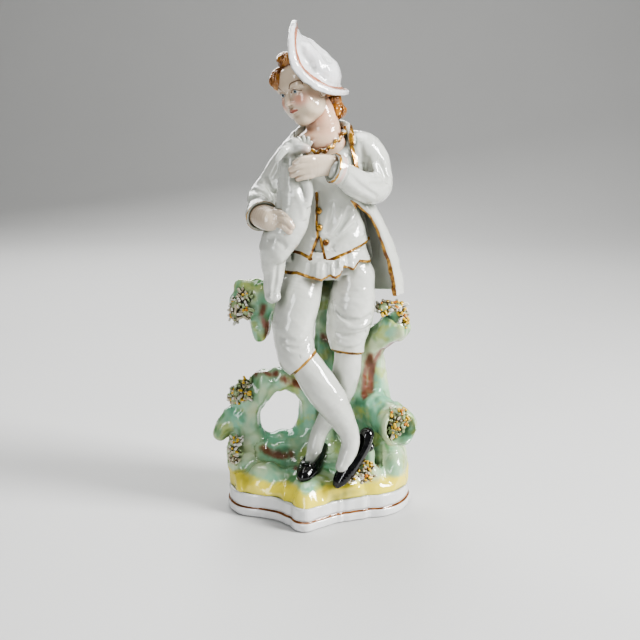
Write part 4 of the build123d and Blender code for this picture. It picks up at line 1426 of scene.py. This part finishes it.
def tuft(node, seed, heads, hues):
    """Shreds of clay pressed through a sieve and planted in rosettes."""
    rng = np.random.default_rng(seed)
    shreds, colours = [], []
    for (x, y, z), facing, size in heads:
        start = spot(node, x, y, z)
        turn = axes(facing, (0.1, 0.2, 1))
        for i in range(SHREDS):
            ring = math.sqrt((i + 0.5) / SHREDS)
            a = i * 2.4 + rng.uniform(-0.2, 0.2)
            lean = np.array((math.cos(a) * ring, 1.1 - 0.75 * ring, math.sin(a) * ring))
            root = start + turn @ (np.array((math.cos(a), 0, math.sin(a))) * ring * size * 0.62)
            tip = root + turn @ lean * size * rng.uniform(0.24, 0.4) + rng.normal(size=3) * 1.0
            thick = rng.uniform(0.85, 1.25)
            bend = (root + tip) / 2 + rng.normal(size=3) * 0.7
            shreds.append(np.array([(*root, thick), (*bend, thick), (*tip, thick * 0.9)]))
            colours.append(rng.choice(hues[0] if ring < 0.45 else hues[1]))
        bed = [start - turn[:, 1] * depth for depth in (1.2, 0.6)]
        shreds.append(np.array([(*q, size * 0.56) for q in bed]))
        colours.append(0.1)
    forms = [tube(s, 1) for s in shreds]
    low, high = np.min([f.low for f in forms], 0), np.max([f.high for f in forms], 0)

    def distance(p):
        return np.min([f(p) for f in forms], 0)

    def colour(p):
        return np.array(colours)[np.argmin([f(p) for f in forms], 0)]

    cast({node: Form(distance, low, high)}, 0.34, petal.material, marks={"hue": colour})


GREEN, CREAMY, AMBER, ORANGE, SNOW = 0.1, 0.45, 0.68, 0.87, 0.97
tuft("blossoms_upper_left", 1, [((2, 1, 8), (-0.3, -0.7, 0.6), 6), ((-4, -1, 3), (-0.7, -0.7, 0.3), 6.5),
        ((-5, 0, -5), (-0.8, -0.6, -0.2), 6), ((3, -4, -1), (-0.2, -1, 0.1), 5.5)],
    ([AMBER, ORANGE, CREAMY], [SNOW, CREAMY, GREEN, CREAMY]))
tuft("blossoms_arch", 2, [((4, 0, 4), (0, -0.8, 0.6), 5.5), ((-2, -2, -1), (-0.5, -0.8, 0.2), 6),
        ((-4, 0, -6), (-0.7, -0.7, -0.1), 5.5), ((4, -2, -4), (0.1, -1, 0), 5)],
    ([AMBER, CREAMY], [CREAMY, GREEN, SNOW, AMBER]))
tuft("blossoms_mound_left", 3, [((1, -1, 7), (-0.3, -0.8, 0.5), 5), ((0, -2, 0), (-0.4, -0.9, 0.1), 6),
        ((-1, -1, -6), (-0.5, -0.9, 0), 5)], ([AMBER, CREAMY], [CREAMY, GREEN, SNOW]))
tuft("blossoms_upper_right", 4, [((-5, 0, 3), (-0.1, -0.7, 0.7), 7.5), ((4, -1, 4), (0.3, -0.8, 0.5), 6),
        ((8, -1, -1), (0.7, -0.7, 0.2), 5.5), ((9, -2, -7), (0.8, -0.6, -0.1), 4.5)],
    ([ORANGE, AMBER], [SNOW, SNOW, CREAMY, AMBER]))
tuft("blossoms_lower_right", 5, [((-3, 1, 6), (-0.1, -0.8, 0.6), 5.5), ((3, 0, 7), (0.3, -0.8, 0.5), 5),
        ((-1, -0.5, 0), (0, -1, 0.1), 6), ((-3, 0, -5), (0, -1, -0.2), 5), ((4, 1, 1), (0.4, -0.9, 0.1),
            4.5)], ([ORANGE, AMBER, CREAMY], [AMBER, CREAMY, GREEN, GREEN]))
tuft("blossoms_shoe", 6, [((-5, 0, 0), (0, -0.8, 0.6), 4.5), ((3, 3, 4), (0.2, -0.8, 0.6), 5),
        ((2, 0, -2), (0.1, -0.9, 0.3), 4.5), ((-9, -3, -2), (-0.1, -0.8, 0.5), 3.6)],
    ([ORANGE, AMBER], [SNOW, CREAMY, AMBER, CREAMY]))


# ---- room ---------------------------------------------------------------------------------------
shelter()


def backdrop():
    """A pale floor that sweeps up behind."""
    course = [(-5.0 + 0.3 * i, 0.0) for i in range(21)]
    course += [(1.0 + math.sin(a) * 0.8, 0.8 - math.cos(a) * 0.8)
        for a in np.linspace(0, math.pi / 2, 13)[1:]]
    course += [(1.8, 0.8 + 0.2 * i) for i in range(1, 9)]
    columns = 15
    points = [(x, y, z) for y, z in course for x in np.linspace(-5, 5, columns)]
    starts = [j * columns + i for j in range(len(course) - 1) for i in range(columns - 1)]
    quads = [(a, a + 1, a + columns + 1, a + columns) for a in starts]
    mesh = bpy.data.meshes.new("floor")
    mesh.from_pydata(points, [], quads)
    mesh.shade_smooth()
    obj = bpy.data.objects.new("floor", mesh)
    bpy.context.scene.collection.objects.link(obj)
    paint = Paint("floor_paper", 0.55, 0)
    paper = paint.mix(paint.noise(3, 2), (0.60, 0.60, 0.59), (0.64, 0.64, 0.63))
    obj.data.materials.append(paint.set(Base_Color=paper))
    return obj


backdrop()


def softbox(name, place, aim, size, power, tint=(1, 1, 1)):
    """A soft rectangular light that faces its aim."""
    light = bpy.data.lights.new(name, "AREA")
    light.shape, light.size, light.size_y = "RECTANGLE", size[0], size[1]
    light.energy, light.color = power, tint
    obj = bpy.data.objects.new(name, light)
    obj.location = place
    obj.rotation_euler = (Vector(aim) - Vector(place)).to_track_quat("-Z", "Y").to_euler()
    bpy.context.scene.collection.objects.link(obj)


low, high = (Vector(c) for c in cad_box)
heart = (low + high) / 2
softbox("key", heart + Vector((0.98, -0.34, 0.62)), heart, (0.3, 0.7), 22)
softbox("fill", heart + Vector((-0.5, -1.0, 0.35)), heart, (0.3, 0.9), 4, (0.97, 0.98, 1))
softbox("top", heart + Vector((0.0, 0.1, 1.0)), heart, (0.8, 0.6), 5)
softbox("back", heart + Vector((-0.3, 0.9, 0.5)), heart, (0.9, 0.6), 6)

world = bpy.data.worlds.new("room")
world.use_nodes = True
sky = world.node_tree.nodes["Background"]
sky.inputs["Color"].default_value = (0.78, 0.78, 0.77, 1)
sky.inputs["Strength"].default_value = 0.15
bpy.context.scene.world = world
bpy.context.scene.view_settings.view_transform = "AgX"
bpy.context.scene.view_settings.look = "AgX - High Contrast"

camera = bpy.data.cameras.new("camera")
camera.lens, camera.sensor_width = 64.4, 36
camera.clip_start = 0.05
camera_object = bpy.data.objects.new("camera", camera)
camera_object.location = (0, -0.75, high.z)
LOOKING_DOWN = 14.6    # degrees below level
camera_object.rotation_euler = (math.radians(90 - LOOKING_DOWN), 0, 0)
bpy.context.scene.collection.objects.link(camera_object)
bpy.context.scene.camera = camera_object
